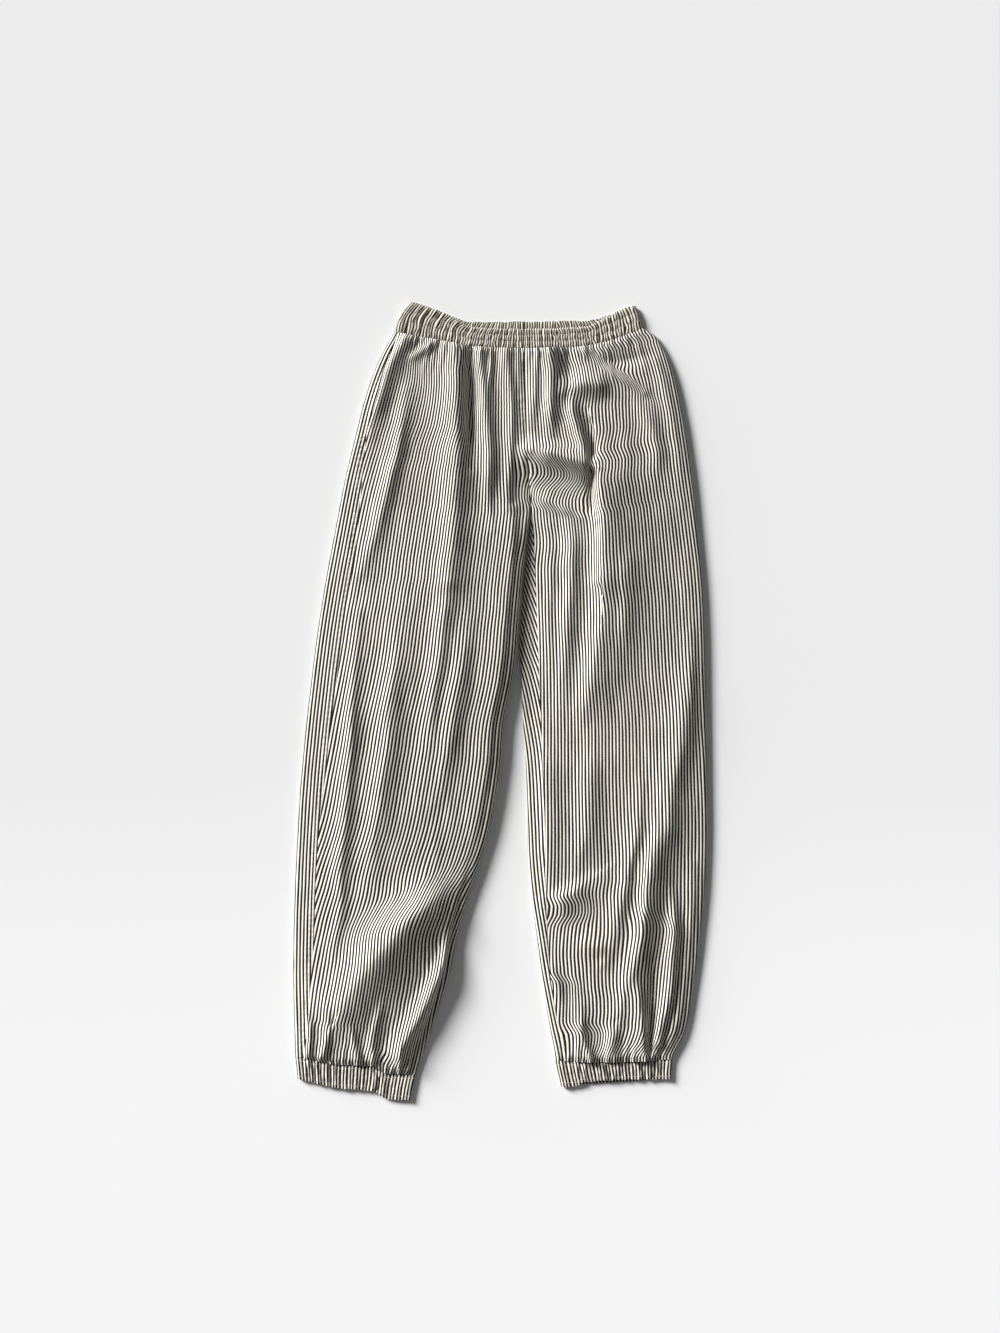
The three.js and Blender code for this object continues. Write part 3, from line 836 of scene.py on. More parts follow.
@dataclass
class Section:
    """Flattened sections of a tube, one at each place that Y names.

    A place on a section is a path length from the middle of its low edge, over the top; below
    nought it lies underneath.
    """

    y: Array
    low: Array
    high: Array
    low_radius: Array
    high_radius: Array

    @cached_property
    def flat_low(self) -> Array:
        """X where the low edge's round ends."""
        return self.low + self.low_radius

    @cached_property
    def flat_high(self) -> Array:
        """X where the high edge's round begins."""
        return self.high - self.high_radius

    @cached_property
    def low_quarter(self) -> Array:
        """Path length from the low edge's middle to the level."""
        return (pi / 2) * self.low_radius

    @cached_property
    def high_quarter(self) -> Array:
        """Path length from the level to the high edge's middle."""
        return (pi / 2) * self.high_radius

    @cached_property
    def length(self) -> Array:
        """Path length over the top from edge to edge."""
        return self.low_quarter + self.flat_high - self.flat_low + self.high_quarter

    def place(self, path: Array, top: Callable[[Array], Array]) -> tuple[Array, Array]:
        """Find points on the sections' outer face.

        Args:
            path: Path length on each section.
            top: Height of the top cloth at places along X.

        Returns:
            X and the height of each point.
        """
        under = (path < 0) | (path > self.length)
        up = np.where(under, -1.0, 1.0)
        distance = np.where(path < 0, -path, np.where(path > self.length, 2 * self.length - path, path))
        low_angle = np.clip(distance / self.low_radius, 0, pi / 2)
        high_angle = np.clip((self.length - distance) / self.high_radius, 0, pi / 2)
        in_low = distance < self.low_quarter
        in_high = distance > self.length - self.high_quarter
        x = self.flat_low + distance - self.low_quarter
        x = np.where(in_low, self.low + self.low_radius * (1 - np.cos(low_angle)), x)
        x = np.where(in_high, self.high - self.high_radius * (1 - np.cos(high_angle)), x)
        z = np.where(under, 0.0, top(x))
        z = np.where(in_low, self.low_radius * (1 + up * np.sin(low_angle)), z)
        z = np.where(in_high, self.high_radius * (1 + up * np.sin(high_angle)), z)
        return x, z

    def path_at(self, x: Array) -> Array:
        """Find the path length at places on the top cloth.

        Args:
            x: Places along X.

        Returns:
            The path lengths.
        """
        inside = np.maximum(x - self.low, 0.0)
        angle = np.arccos(1.0 - np.minimum(inside / self.low_radius, 1.0))
        level = self.low_quarter + x - self.flat_low
        return np.where(inside < self.low_radius, self.low_radius * angle, level)


def leg_section(leg: Leg, y: Array) -> Section:
    """Make a leg's sections.

    Args:
        leg: The leg.
        y: Where the sections lie.

    Returns:
        The sections.
    """
    inner_radius = HEIGHTS[leg.inside](y) / 2
    side_radius = HEIGHTS[leg.edge](y) / 2
    outward = 1.0 if leg.inner_is_high else -1.0
    inner_edge = leg.inner(y) + outward * inner_radius * (1 - np.sin(closing(y)))
    side_edge = SECTIONS[leg.edge](y)
    if leg.inner_is_high:
        return Section(y, side_edge, inner_edge, side_radius, inner_radius)
    return Section(y, inner_edge, side_edge, inner_radius, side_radius)


# Side pocket of the right leg: the ends, width and fullness of its slit in the side seam, and the
# ends of the bar tack that closes it
POCKET_LOW = 338.0
POCKET_HIGH = 452.0
POCKET_MIDDLE = 2.4
POCKET_FULLNESS = 0.7
BAR_TACK = (-174.0, 343.0, -157.0, 338.5)


def pocket_slit(y: Array) -> Array:
    """Find the width of the open slit between the front and the back at the side seam.

    Args:
        y: Places along Y.

    Returns:
        The widths.
    """
    share = np.clip((y - POCKET_LOW) / (POCKET_HIGH - POCKET_LOW), 0.0, 1.0)
    return POCKET_MIDDLE * np.sin(pi * share) ** POCKET_FULLNESS


# Puckers beside the seam of each leg: how far off the seam they lie, and their share of full height
PUCKER_AT = {"right": -5.0, "left": -3.5}
PUCKER_SHARE = {"right": 1.0, "left": 0.45}


@dataclass
class Drape:
    """Height and lean of the top cloth over both legs.

    The seams lie in grooves, with puckers beside each leg's seam and bunched cloth beside the
    centre seam. At the waistband and the cuffs the cloth dips into the sewn lines.
    """

    pucker_pitch: float = 7.2
    pucker_height: float = 1.15
    pucker_width: float = 3.6
    pucker_level: float = 0.8
    pucker_start: float = 20.0
    seam_depth: float = 0.3
    seam_width: float = 1.7
    seam_start: float = 5.0
    centre_depth: float = 0.9
    centre_width: float = 1.6
    centre_start: float = 10.0
    bunch_height: float = 0.7
    bunch_at: float = -5.0
    bunch_width: float = 3.5
    bunch_pitch: float = 10.5
    bunch_level: float = 0.35
    bunch_rise: float = 0.9
    bunch_middle: float = 362.0
    bunch_length: float = 26.0
    join_depth: float = 1.6
    join_width: float = 2.6
    ankle_depth: float = 3.0
    ankle_width: float = 5.0

    def side_seam_relief(self, leg: Leg, x: Array, y: Array) -> Array:
        """Find the groove of a leg's seam that lies on top, and the puckers beside it.

        Args:
            leg: The leg that the places are on.
            x: Places along X.
            y: Places along Y.

        Returns:
            The heights.
        """
        side = leg.side.value
        right = leg.side is Side.RIGHT
        seam = SECTIONS["right_seam"](y) if right else INNER_LEGS["left_inseam"](y)
        off = x - seam - SEAM_DRIFT(y)
        below = 1.0 if right else smooth((CROTCH_Y - y) / self.pucker_start)
        groove = -self.seam_depth * np.exp(-((off / self.seam_width) ** 2)) * below
        swing = 2 * pi * y / self.pucker_pitch + PUCKER_DRIFT(y)
        strength = (self.pucker_level + PUCKER_UNEVENNESS(y)) * below * PUCKER_SHARE[side]
        reach = np.exp(-(((off - PUCKER_AT[side]) / self.pucker_width) ** 2))
        return groove + self.pucker_height * reach * np.cos(swing) * strength

    def centre_seam_relief(self, x: Array, y: Array) -> Array:
        """Find the groove of the centre seam, and the cloth bunched on its right.

        Args:
            x: Places along X.
            y: Places along Y.

        Returns:
            The heights.
        """
        off = x - CENTRE_SEAM(y)
        above = smooth((y - CROTCH_Y) / self.centre_start)
        groove = -self.centre_depth * np.exp(-((off / self.centre_width) ** 2)) * above
        reach = np.exp(-(((off - self.bunch_at) / self.bunch_width) ** 2))
        swing = 2 * pi * y / self.bunch_pitch + BUNCH_DRIFT(y, y)
        middle = np.exp(-(((y - self.bunch_middle) / self.bunch_length) ** 2))
        strength = self.bunch_level + self.bunch_rise * middle
        return groove + self.bunch_height * reach * np.cos(swing) * above * strength

    def relief(self, leg: Leg, x: Array, y: Array) -> tuple[Array, Array, Array]:
        """Find the folds, gathers and creases of the top cloth.

        Args:
            leg: The leg that the places are on.
            x: Places along X.
            y: Places along Y.

        Returns:
            The heights, and the shift of the crests along X and Y.
        """
        near_x = x + FOLD_DRIFT_X(x, y)
        near_y = y + FOLD_DRIFT_Y(x, y)
        ridges = np.zeros_like(x)
        hollows = np.zeros_like(x)
        shift_x = np.zeros_like(x)
        shift_y = np.zeros_like(x)
        for fold in FOLDS:
            height, lean_x, lean_y = fold.relief(near_x, near_y)
            if fold.height > 0:
                ridges += height**3
            else:
                hollows += height
            shift_x += lean_x
            shift_y += lean_y
        creases = CREASING(x + CREASE_SLANT * y, y) + DIMPLING(x, y + DIMPLE_SLANT * x)
        gathers = WAIST_GATHERS.relief(x, y) + leg.gathers.relief(x, y)
        return np.cbrt(ridges) + hollows + creases + gathers, shift_x, shift_y

    def top(self, leg: Leg, section: Section, x: Array) -> tuple[Array, Array, Array]:
        """Find the height of the top cloth on a leg's sections.

        Args:
            leg: The leg.
            section: Its sections.
            x: A place along X on each.

        Returns:
            The heights, and the shift of the crests along X and Y.
        """
        y = section.y
        width = section.flat_high - section.flat_low
        from_side = x - section.flat_low if leg.inner_is_high else section.flat_high - x
        t = np.clip(from_side / width, 0.0, 1.0)
        apart = parting(y)
        level = mix(HEIGHTS[leg.edge](y), HEIGHTS[leg.inside](y), smooth(t))
        arch = mix(np.sin((pi / 2) * t), np.sin(pi * t), apart)
        side_fade = smooth(from_side / EDGE_FADE)
        inner_fade = 1 - apart * (1 - smooth((width - from_side) / INNER_FADE))
        relief, shift_x, shift_y = self.relief(leg, x, y)
        fade = side_fade * inner_fade
        height = np.maximum(level + HEIGHTS["swell"](y) * arch + relief * fade, LEAST_TOP)
        seams = self.side_seam_relief(leg, x, y) + self.centre_seam_relief(x, y)
        height += seams * smooth(from_side / self.seam_start)
        join = np.exp(-((np.maximum(WAIST["join"](x) - y, 0.0) / self.join_width) ** 2))
        ankle = np.exp(-((np.maximum(y - leg.cuff["join"](x), 0.0) / self.ankle_width) ** 2))
        height -= (self.join_depth * join + self.ankle_depth * ankle) * fade
        return height, shift_x * fade, shift_y * fade


DRAPE = Drape()


@dataclass
class PanelGrid:
    """Points of a panel's outer face, with the place of each on the flat cloth."""

    x: Array
    y: Array
    z: Array
    u: Array
    v: Array

    def turned(self, rows: bool = False, columns: bool = False) -> "PanelGrid":
        """Return the grid in the other order, so that its faces point the other way.

        Args:
            rows: Whether the rows are turned.
            columns: Whether the columns are turned.

        Returns:
            The new grid.
        """
        row_step = -1 if rows else 1
        column_step = -1 if columns else 1
        parts = (self.x, self.y, self.z, self.u, self.v)
        return PanelGrid(*(part[::row_step, ::column_step] for part in parts))


class Zone(Enum):
    """Which face of the leg a panel is cut for."""

    FRONT = "front"
    BACK = "back"


# Steps that find where a panel's columns meet its sewn ends
MEETING_STEPS = 8


@dataclass
class Panel:
    """One cut panel of a leg, front or back."""

    leg: Leg
    zone: Zone
    rows: int = 372
    start: float = 6.0
    start_columns: int = 5
    middle_columns: int = 104
    end: float = 6.0
    end_columns: int = 4

    @property
    def name(self) -> str:
        """Name of the piece, as its CAD node."""
        return f"{self.zone.value}_{self.leg.side.value}"

    def span(self, section: Section) -> tuple[Array, Array]:
        """Find the panel's two borders.

        Args:
            section: The leg's sections.

        Returns:
            The path lengths where the panel begins and ends.
        """
        half = SEAM_GAP / 2
        sign = -1.0 if self.zone is Zone.FRONT else 1.0
        if self.leg.side is Side.RIGHT:
            opened = (pi / 2 - closing(section.y)) * section.high_radius
            turned = smooth((CROTCH_Y - section.y) / INSEAM_TURN) * (section.high_quarter + INSEAM_UNDER)
            begin = section.path_at(SECTIONS["right_seam"](section.y)) - sign * half
            end = section.length + turned + sign * (opened + half)
            if self.zone is Zone.FRONT:
                begin = begin + pocket_slit(section.y)
        else:
            opened = (pi / 2 - closing(section.y)) * section.low_radius
            inseam = np.where(
                section.y > CROTCH_Y, 0.0, section.path_at(INNER_LEGS["left_inseam"](section.y))
            )
            begin = inseam - sign * (opened + half)
            end = section.length + section.high_quarter + SIDE_SEAM_UNDER + sign * half
        if self.zone is Zone.BACK:
            end = end - 2 * section.length
        return begin, end

    def path(self, section: Section, column: Array) -> Array:
        """Find path lengths of the panel's columns, which stand close at its borders.

        Args:
            section: The leg's sections.
            column: A column number on each.

        Returns:
            The path lengths.
        """
        begin, end = self.span(section)
        toward = -1.0 if self.zone is Zone.BACK else 1.0
        left = self.start_columns + self.middle_columns + self.end_columns - column
        near = begin + toward * self.start * column / self.start_columns
        far = end - toward * self.end * left / self.end_columns
        share = (column - self.start_columns) / self.middle_columns
        middle = mix(begin + toward * self.start, end - toward * self.end, share)
        last = np.where(left <= self.end_columns, far, middle)
        return np.where(column <= self.start_columns, near, last)

    def meet(self, column: Array, on_top: Callable, under: Callable, shift: float) -> Array:
        """Find Y where each column meets a sewn line, by repeated approach.

        Args:
            column: Column numbers.
            on_top: The line on top, as Y at places along X.
            under: The line underneath.
            shift: Distance to keep from the line along Y.

        Returns:
            Y of each column's end.
        """
        y = np.full(column.shape, float(on_top(np.array(0.0))))
        for _ in range(MEETING_STEPS):
            section = leg_section(self.leg, y)
            path = self.path(section, column)
            x, _ = section.place(path, np.zeros_like)
            beneath = (path < 0) | (path > section.length)
            y = np.where(beneath, under(x), on_top(x)) + shift
        return y

    def grid(self) -> PanelGrid:
        """Work out the panel's points and their places on the flat cloth.

        Returns:
            The grid, a row for each step from the waist to the cuff.
        """
        count = self.start_columns + self.middle_columns + self.end_columns
        column = np.arange(count + 1, dtype=float)
        top = self.meet(column, WAIST["join"], self.leg.waist_under, -SEAM_GAP / 2)
        bottom = self.meet(column, self.leg.cuff["join"], self.leg.ankle_under, SEAM_GAP / 2)
        share = np.linspace(0.0, 1.0, self.rows + 1)[:, None]
        y = mix(top[None, :], bottom[None, :], share)
        section = leg_section(self.leg, y)
        path = self.path(section, np.broadcast_to(column, y.shape))
        shifts: dict[str, Array] = {}

        def top_height(x: Array) -> Array:
            """Return the height of the top cloth and keep the crests' shift."""
            height, shifts["x"], shifts["y"] = DRAPE.top(self.leg, section, x)
            return height

        x, z = section.place(path, top_height)
        u = self.cloth_across(section, path, x, z)
        level = (path > section.low_quarter) & (path < section.length - section.high_quarter)
        x = x + np.where(level, shifts["x"], 0.0)
        moved_y = y + np.where(level, shifts["y"], 0.0)
        return PanelGrid(x, moved_y, z, u, y)

    def cloth_across(self, section: Section, path: Array, x: Array, z: Array) -> Array:
        """Find where each point lies across the flat cloth.

        On a front, the length over the folds between two lines that the stripes follow is shared
        out evenly over the cloth's width, which tapers to the ankle, so that stripes run out into
        the seams. On a back, stripes keep to the leg's low edge.

        Args:
            section: The leg's sections.
            path: Path length of each point.
            x: X of each point.
            z: Height of each point.

        Returns:
            Places across the cloth.
        """
        if self.zone is Zone.BACK:
            slant = BACK_SLANT(section.y) if self.leg.side is Side.LEFT else 0.0
            return path + slant
        step = np.hypot(np.diff(x, axis=1), np.diff(z, axis=1))
        along = np.concatenate([np.zeros((x.shape[0], 1)), np.cumsum(step, axis=1)], axis=1)
        y = section.y.mean(axis=1)
        inner = self.leg.grain_inner(y)
        outer = self.leg.grain_outer(y)
        width = GRAIN_WIDTH[self.leg.side.value](y)
        anchor = GRAIN_ANCHOR[self.leg.side.value]
        across = np.empty_like(x)
        for row in range(x.shape[0]):
            level = slice(0, int(np.argmax(x[row])) + 1)
            at_inner = reach_along(inner[row], x[row, level], along[row, level])
            at_outer = reach_along(outer[row], x[row, level], along[row, level])
            across[row] = width[row] * ((along[row] - at_inner) / (at_outer - at_inner) - anchor)
        toward = -1.0 if self.leg.side is Side.RIGHT else 1.0
        for facet in FACETS:
            across += toward * facet.shift(x, section.y)
        return across

    @cached_property
    def surface(self) -> PanelGrid:
        """The panel's points, worked out once."""
        return self.grid()

    def build(self) -> bpy.types.Object:
        """Make the panel's object.

        Returns:
            The object, a closed wall.
        """
        return wall_object(self.name, self.surface.turned(columns=self.zone is Zone.BACK), CLOTH)

    def line(self, column: int, low: float, high: float) -> Array:
        """Find a line of stitches beside the panel's first border.

        Args:
            column: The column that the stitches follow.
            low: Y of its lower end.
            high: Y of its upper end.

        Returns:
            Points along it.
        """
        grid = self.surface
        kept = (grid.v[:, column] > low) & (grid.v[:, column] < high)
        return np.stack([part[kept, column] for part in (grid.x, grid.y, grid.z)], axis=-1)


def on_top(leg: Leg, ends: tuple[float, float, float, float], count: int) -> Array:
    """Find points on the top cloth along a straight line.

    Args:
        leg: The leg that it is on.
        ends: X and Y of its first end, then of its last.
        count: Number of points.

    Returns:
        The points.
    """
    x = np.linspace(ends[0], ends[2], count)
    y = np.linspace(ends[1], ends[3], count)
    height, shift_x, shift_y = DRAPE.top(leg, leg_section(leg, y), x)
    return np.stack([x + shift_x, y + shift_y, height], axis=-1)


def reach_along(place: float, x: Array, along: Array) -> float:
    """Read the length over the folds at a place, level beyond both ends of the row.

    Args:
        place: The place along X.
        x: X of the row's points, rising.
        along: Length over the folds at each.

    Returns:
        The length at the place.
    """
    value = float(np.interp(place, x, along))
    return value + min(place - float(x[0]), 0.0) + max(place - float(x[-1]), 0.0)


def wall_object(
    name: str, grid: PanelGrid, thickness: float, ring: bool = False, lift: Array | None = None
) -> bpy.types.Object:
    """Turn a grid into a closed cloth wall, its outer face on the grid's points.

    Args:
        name: Name of the object.
        grid: The points and their places on the cloth.
        thickness: The wall, inward from the grid.
        ring: Whether the last column meets the first.
        lift: Height added to the inner face, for a face that shows.

    Returns:
        The object, at the origin, with its cloth places in the UV map named cloth.
    """
    rows, columns = grid.x.shape
    points = np.stack([grid.x, grid.y, grid.z], axis=-1).reshape(-1, 3) * MM
    index = np.arange(rows * columns).reshape(rows, columns)
    along = np.concatenate([index, index[:, :1]], axis=1) if ring else index
    quads = np.stack([along[:-1, :-1], along[1:, :-1], along[1:, 1:], along[:-1, 1:]], axis=-1)
    faces = quads.reshape(-1, 4)
    mesh = bpy.data.meshes.new(name + SUFFIX)
    mesh.from_pydata(points.tolist(), [], faces.tolist())
    cloth = np.stack([grid.u, grid.v], axis=-1).reshape(-1, 2) / UV_UNIT
    corners = np.empty(len(mesh.loops), dtype=np.int32)
    mesh.loops.foreach_get("vertex_index", corners)
    layer = mesh.uv_layers.new(name="cloth")
    layer.data.foreach_set("uv", cloth[corners].astype(np.float32).ravel())
    mesh.polygons.foreach_set("use_smooth", np.ones(len(mesh.polygons), dtype=bool))
    piece = bpy.data.objects.new(name + SUFFIX, mesh)
    bpy.context.scene.collection.objects.link(piece)
    solid = piece.modifiers.new("wall", "SOLIDIFY")
    solid.thickness = thickness * MM
    solid.offset = -1.0
    applied(piece)
    piece.data.set_sharp_from_angle(angle=RIM_ANGLE)
    if lift is not None:
        inner = piece.data.vertices[len(points) :]
        for vertex, rise in zip(inner, lift.ravel()):
            vertex.co.z += max(float(rise), 0.0) * MM
    return piece


def applied(piece: bpy.types.Object) -> None:
    """Turn an object's modifiers into plain mesh.

    Args:
        piece: The object, which keeps its name and materials.
    """
    bpy.context.view_layer.update()
    evaluated = piece.evaluated_get(bpy.context.evaluated_depsgraph_get())
    mesh = bpy.data.meshes.new_from_object(evaluated)
    piece.modifiers.clear()
    old = piece.data
    piece.data = mesh
    mesh.name = piece.name
    bpy.data.meshes.remove(old)


@dataclass
class Elastic:
    """A shirred elastic band: a flat ring in section, with rows of stitching along it.

    Scatter, widths and sway of the pleats are shares of their pitch, and rises, shares of the wave.
    Unit is how long the way across the band is taken to be where its unevenness is read. A pinch
    is a narrow hollow between two lips, right across the band.
    """

    height: float
    low: float
    high: float
    pitch: float
    wave: float
    rows_of_stitches: int
    seed: int
    bold_ends: float = 0.0
    pinches: tuple[float, ...] = ()
    unit: float = 40.0
    scatter: float = 0.42
    widths: tuple[float, float] = (0.24, 0.44)
    rises: tuple[float, float] = (0.35, 1.0)
    sway: float = 0.35
    pinch_width: float = 2.4
    pinch_depth: float = 1.6
    lip_at: float = 2.0
    lip_width: float = 1.1
    row_depth: float = 0.6
    row_hold: float = 0.45
    row_round: float = 0.6
    sink: float = 0.45

    def section(self, low: Array, high: Array, y: Array) -> Section:
        """Return the band's sections between two ends."""
        radius = np.full_like(y, self.height / 2)
        return Section(y, low, high, radius, radius)

    def pleats(self, place: Array, up: Array) -> Array:
        """Find the height of the uneven pleats across the band.

        Args:
            place: Places along the band's sewn edge.
            up: Share of the way across the band.

        Returns:
            The heights.
        """
        draw = np.random.default_rng(self.seed)
        middle = (self.low + self.high) / 2
        height = np.zeros_like(place)
        for k in range(int((self.high - self.low) / self.pitch)):
            start = self.low + (k + 0.5 + draw.uniform(-self.scatter, self.scatter)) * self.pitch
            width = self.pitch * draw.uniform(*self.widths)
            rise = self.wave * draw.uniform(*self.rises)
            sway = self.pitch * draw.uniform(-self.sway, self.sway)
            rise *= 1.0 + self.bold_ends * abs(start - middle) / (self.high - middle)
            off = (place - start - sway * (up - 0.5)) / width
            height += rise * np.exp(-(off**2))
        return height

    def relief(self, place: Array, up: Array) -> Array:
        """Find the height of the band's face, pinched at each row of stitches.

        Args:
            place: Places along the band's sewn edge.
            up: Share of the way across the band.

        Returns:
            The heights.
        """
        noise = Noise(self.seed)
        unevenness = Wobble(0.4, 9.0, 13.0, noise=noise)
        drift = Wobble(4.0, 50.0, 11.0, noise=noise)
        bulge = Wobble(0.5, 16.0, 40.0, from_x=700.0, noise=noise)
        crinkle = Wobble(0.45, 3.4, 6.0, from_x=300.0, noise=noise)
        across = up * self.unit
        height = self.pleats(place, up) * (0.8 + unevenness(place, across))
        for pinch in self.pinches:
            off = (place - pinch + drift(place, across)) / self.pinch_width
            lips = np.exp(-(((np.abs(off) - self.lip_at) / self.lip_width) ** 2))
            height += self.pinch_depth * (lips - np.exp(-(off**2)))
        free = np.abs(np.sin(pi * self.rows_of_stitches * up)) ** self.row_round
        height = height * (1 - self.row_hold + self.row_hold * free) - self.sink * self.wave
        return height + bulge(place, across) + crinkle(place, across) - self.row_depth * (1 - free)


WAIST_ELASTIC = Elastic(
    BAND_HEIGHT,
    low=-134,
    high=178,
    pitch=4.6,
    wave=1.4,
    rows_of_stitches=3,
    seed=41,
    bold_ends=0.2,
)
CUFF_ELASTIC = Elastic(
    CUFF_HEIGHT,
    low=-260,
    high=220,
    pitch=7.4,
    wave=2.2,
    rows_of_stitches=1,
    seed=43,
    pinches=(-229, -207, -149, 103, 138, 181),
)


@dataclass
class Waistband:
    """The shirred waistband: four pieces, front and back, right and left."""

    columns: int = 230
    rows: int = 26
    fullness: float = 1.3
    end_fullness: float = 0.25
    end_reach: float = 110.0
    end_start: float = 0.4
    end_fade: float = 7.0
    seam_depth: float = 1.2
    seam_width: float = 1.6
    roll_depth: float = 1.2
    roll_width: float = 0.12
    back_step: float = 37.0
    back_lift: float = 0.6
    back_share: float = 0.75
    sewn: tuple[float, ...] = (0.35, 0.66, 0.92)
    margin: int = 3
    lines: dict[str, list[Array]] = field(default_factory=dict)

    def span(self, side: Side, section: Section) -> tuple[Array, Array]:
        """Find a side's two ends.

        Args:
            side: The wearer's side.
            section: The band's sections.

        Returns:
            The path lengths where it begins and ends.
        """
        centre = section.path_at(np.full_like(section.y, WAIST_CENTRE))
        half = SEAM_GAP / 2
        if side is Side.RIGHT:
            return np.full_like(centre, half), centre - half
        return centre + half, section.length - half

    def weave(self, place: Array, z: Array, up: Array) -> Array:
        """Find where the points lie across the stripes, which the elastic gathers.

        Args:
            place: Places along the band's sewn edge.
            z: Height of each point.
            up: Share of the way across the band.

        Returns:
            Places across the cloth.
        """
        to_end = smooth(np.abs(place[0] - WAIST_CENTRE) / self.end_reach - self.end_start)
        fullness = self.fullness + self.end_fullness * to_end
        step = np.hypot(np.diff(place), np.diff(z, axis=1)).mean(axis=0) / fullness[1:]
        along = np.r_[0.0, np.cumsum(step)][None, :] + np.zeros_like(place)
        return along * self.fullness**2 + WAIST_WEAVE(place, up * BAND_DEEP)

    def piece(self, side: Side, zone: Zone) -> bpy.types.Object:
        """Build one piece of the band and keep its rows of stitches.

        Args:
            side: The wearer's side.
            zone: Front or back.

        Returns:
            The object.
        """
        leg = RIGHT_LEG if side is Side.RIGHT else LEFT_LEG
        front = zone is Zone.FRONT
        up = np.linspace(0.0, 1.0, self.rows + 1)[:, None] * np.ones((1, self.columns + 1))
        section = WAIST_ELASTIC.section(WAIST_ENDS["right"](up), WAIST_ENDS["left"](up), up)
        share = np.linspace(0.0, 1.0, self.columns + 1)[None, :]
        path = mix(*self.span(side, section), share)
        place = section.low[:1] + path[:1] + np.zeros_like(up)

        def top(x: Array) -> Array:
            """Find the height of the band's top face.

            Args:
                x: Places along X.

            Returns:
                The heights.
            """
            fade = smooth((x - section.flat_low) / self.end_fade)
            fade = fade * smooth((section.flat_high - x) / self.end_fade)
            seam = self.seam_depth * np.exp(-(((x - WAIST_CENTRE) / self.seam_width) ** 2))
            return BAND_HEIGHT + (WAIST_ELASTIC.relief(place, up) - seam) * fade

        x, z = section.place(path, top)
        join = WAIST["join"](x) if front else leg.waist_under(x)
        edge = WAIST["front_top" if front else "back_top"](x)
        y = mix(join + SEAM_GAP, edge + WAIST_EDGE(x, 1.0 if front else 5.0), up)
        lift = None
        if front:
            z = z - self.roll_depth * smooth((up - 1.0 + self.roll_width) / self.roll_width) ** 2
        else:
            x, z = section.place(-path, top)
            relief = WAIST_ELASTIC.relief(place + self.back_step, up)
            lift = (self.back_share * relief + self.back_lift)[::-1, ::-1]
        grid = PanelGrid(x, y, z, self.weave(place, z, up), y).turned(rows=True, columns=not front)
        name = f"waistband_{zone.value}_{side.value}"
        if front:
            inside = slice(self.margin, -self.margin)
            self.lines[name + SUFFIX] = [
                np.stack([part[round(row * self.rows), inside] for part in (x, y, z)], axis=-1)
                for row in self.sewn
            ]
        return wall_object(name, grid, BAND_CLOTH, lift=lift)

    def build(self) -> list[bpy.types.Object]:
        """Build the four pieces.

        Returns:
            The objects.
        """
        return [self.piece(side, zone) for zone in Zone for side in Side]


@dataclass
class Cuff:
    """An elastic cuff: one ring with its gathers."""

    leg: Leg
    ends: dict[str, Track]
    columns: int = 150
    under_columns: int = 40
    rows: int = 20
    end_fade: float = 5.0
    sewn: tuple[float, ...] = (0.14, 0.86)
    margin: int = 3
    lines: list[Array] = field(default_factory=list)

    def build(self) -> bpy.types.Object:
        """Build the cuff and keep its rows of stitches.

        Returns:
            The object.
        """
        over = np.arange(self.columns) / self.columns
        under = 1 + np.arange(self.under_columns) / self.under_columns
        share = np.r_[over, under]
        down = np.linspace(0.0, 1.0, self.rows + 1)[:, None] * np.ones((1, len(share)))
        section = CUFF_ELASTIC.section(self.ends["low"](down), self.ends["high"](down), down)
        path = section.length * share[None, :]
        place = section.low[:1] + path[:1] + np.zeros_like(down)

        def top(x: Array) -> Array:
            """Find the height of the cuff's top face.

            Args:
                x: Places along X.

            Returns:
                The heights.
            """
            fade = smooth((x - section.flat_low) / self.end_fade)
            fade = fade * smooth((section.flat_high - x) / self.end_fade)
            return CUFF_HEIGHT + CUFF_ELASTIC.relief(place, 1 - down) * fade

        x, z = section.place(path, top)
        beneath = path > section.length
        join = np.where(beneath, self.leg.ankle_under(x), self.leg.cuff["join"](x))
        hem = np.where(beneath, self.leg.ankle_under(x, "hem"), self.leg.cuff["hem"](x))
        y = mix(join - SEAM_GAP / 2, hem + CUFF_EDGE(x) * np.where(beneath, 0.0, 1.0), down)
        step = np.hypot(np.diff(x, axis=1), np.diff(z, axis=1)).mean(axis=0)
        along = np.r_[0.0, np.cumsum(step)][None, :] + CUFF_WEAVE(place, down * CUFF_DEEP)
        inside = slice(self.margin, self.columns - self.margin)
        for row in self.sewn:
            row = round(row * self.rows)
            self.lines.append(np.stack([part[row, inside] for part in (x, y, z)], axis=-1))
        grid = PanelGrid(x, y, z, along, y)
        return wall_object(f"cuff_{self.leg.side.value}", grid, CUFF_CLOTH, ring=True)


@dataclass
class PocketFacing:
    """The strip of pocket cloth that shows in the open slit."""

    width: float = 14.0
    inset: float = 6.0
    rows: int = 60
    columns: int = 10
    sink: float = 1.6

    def build(self) -> bpy.types.Object:
        """Build the strip.

        Returns:
            The object.
        """
        ends = (POCKET_HIGH - self.inset, POCKET_LOW + self.inset)
        y = np.linspace(*ends, self.rows + 1)[:, None] * np.ones((1, self.columns + 1))
        section = leg_section(RIGHT_LEG, y)
        seam = section.path_at(SECTIONS["right_seam"](y))
        share = np.linspace(0.0, 1.0, self.columns + 1)[None, :]
        path = seam + mix(SEAM_GAP, self.width, share)
        x, z = section.place(path, lambda x: DRAPE.top(RIGHT_LEG, section, x)[0])
        grid = PanelGrid(x, y, z - self.sink, path, y)
        return wall_object("pocket_facing_right", grid, FACING_CLOTH)


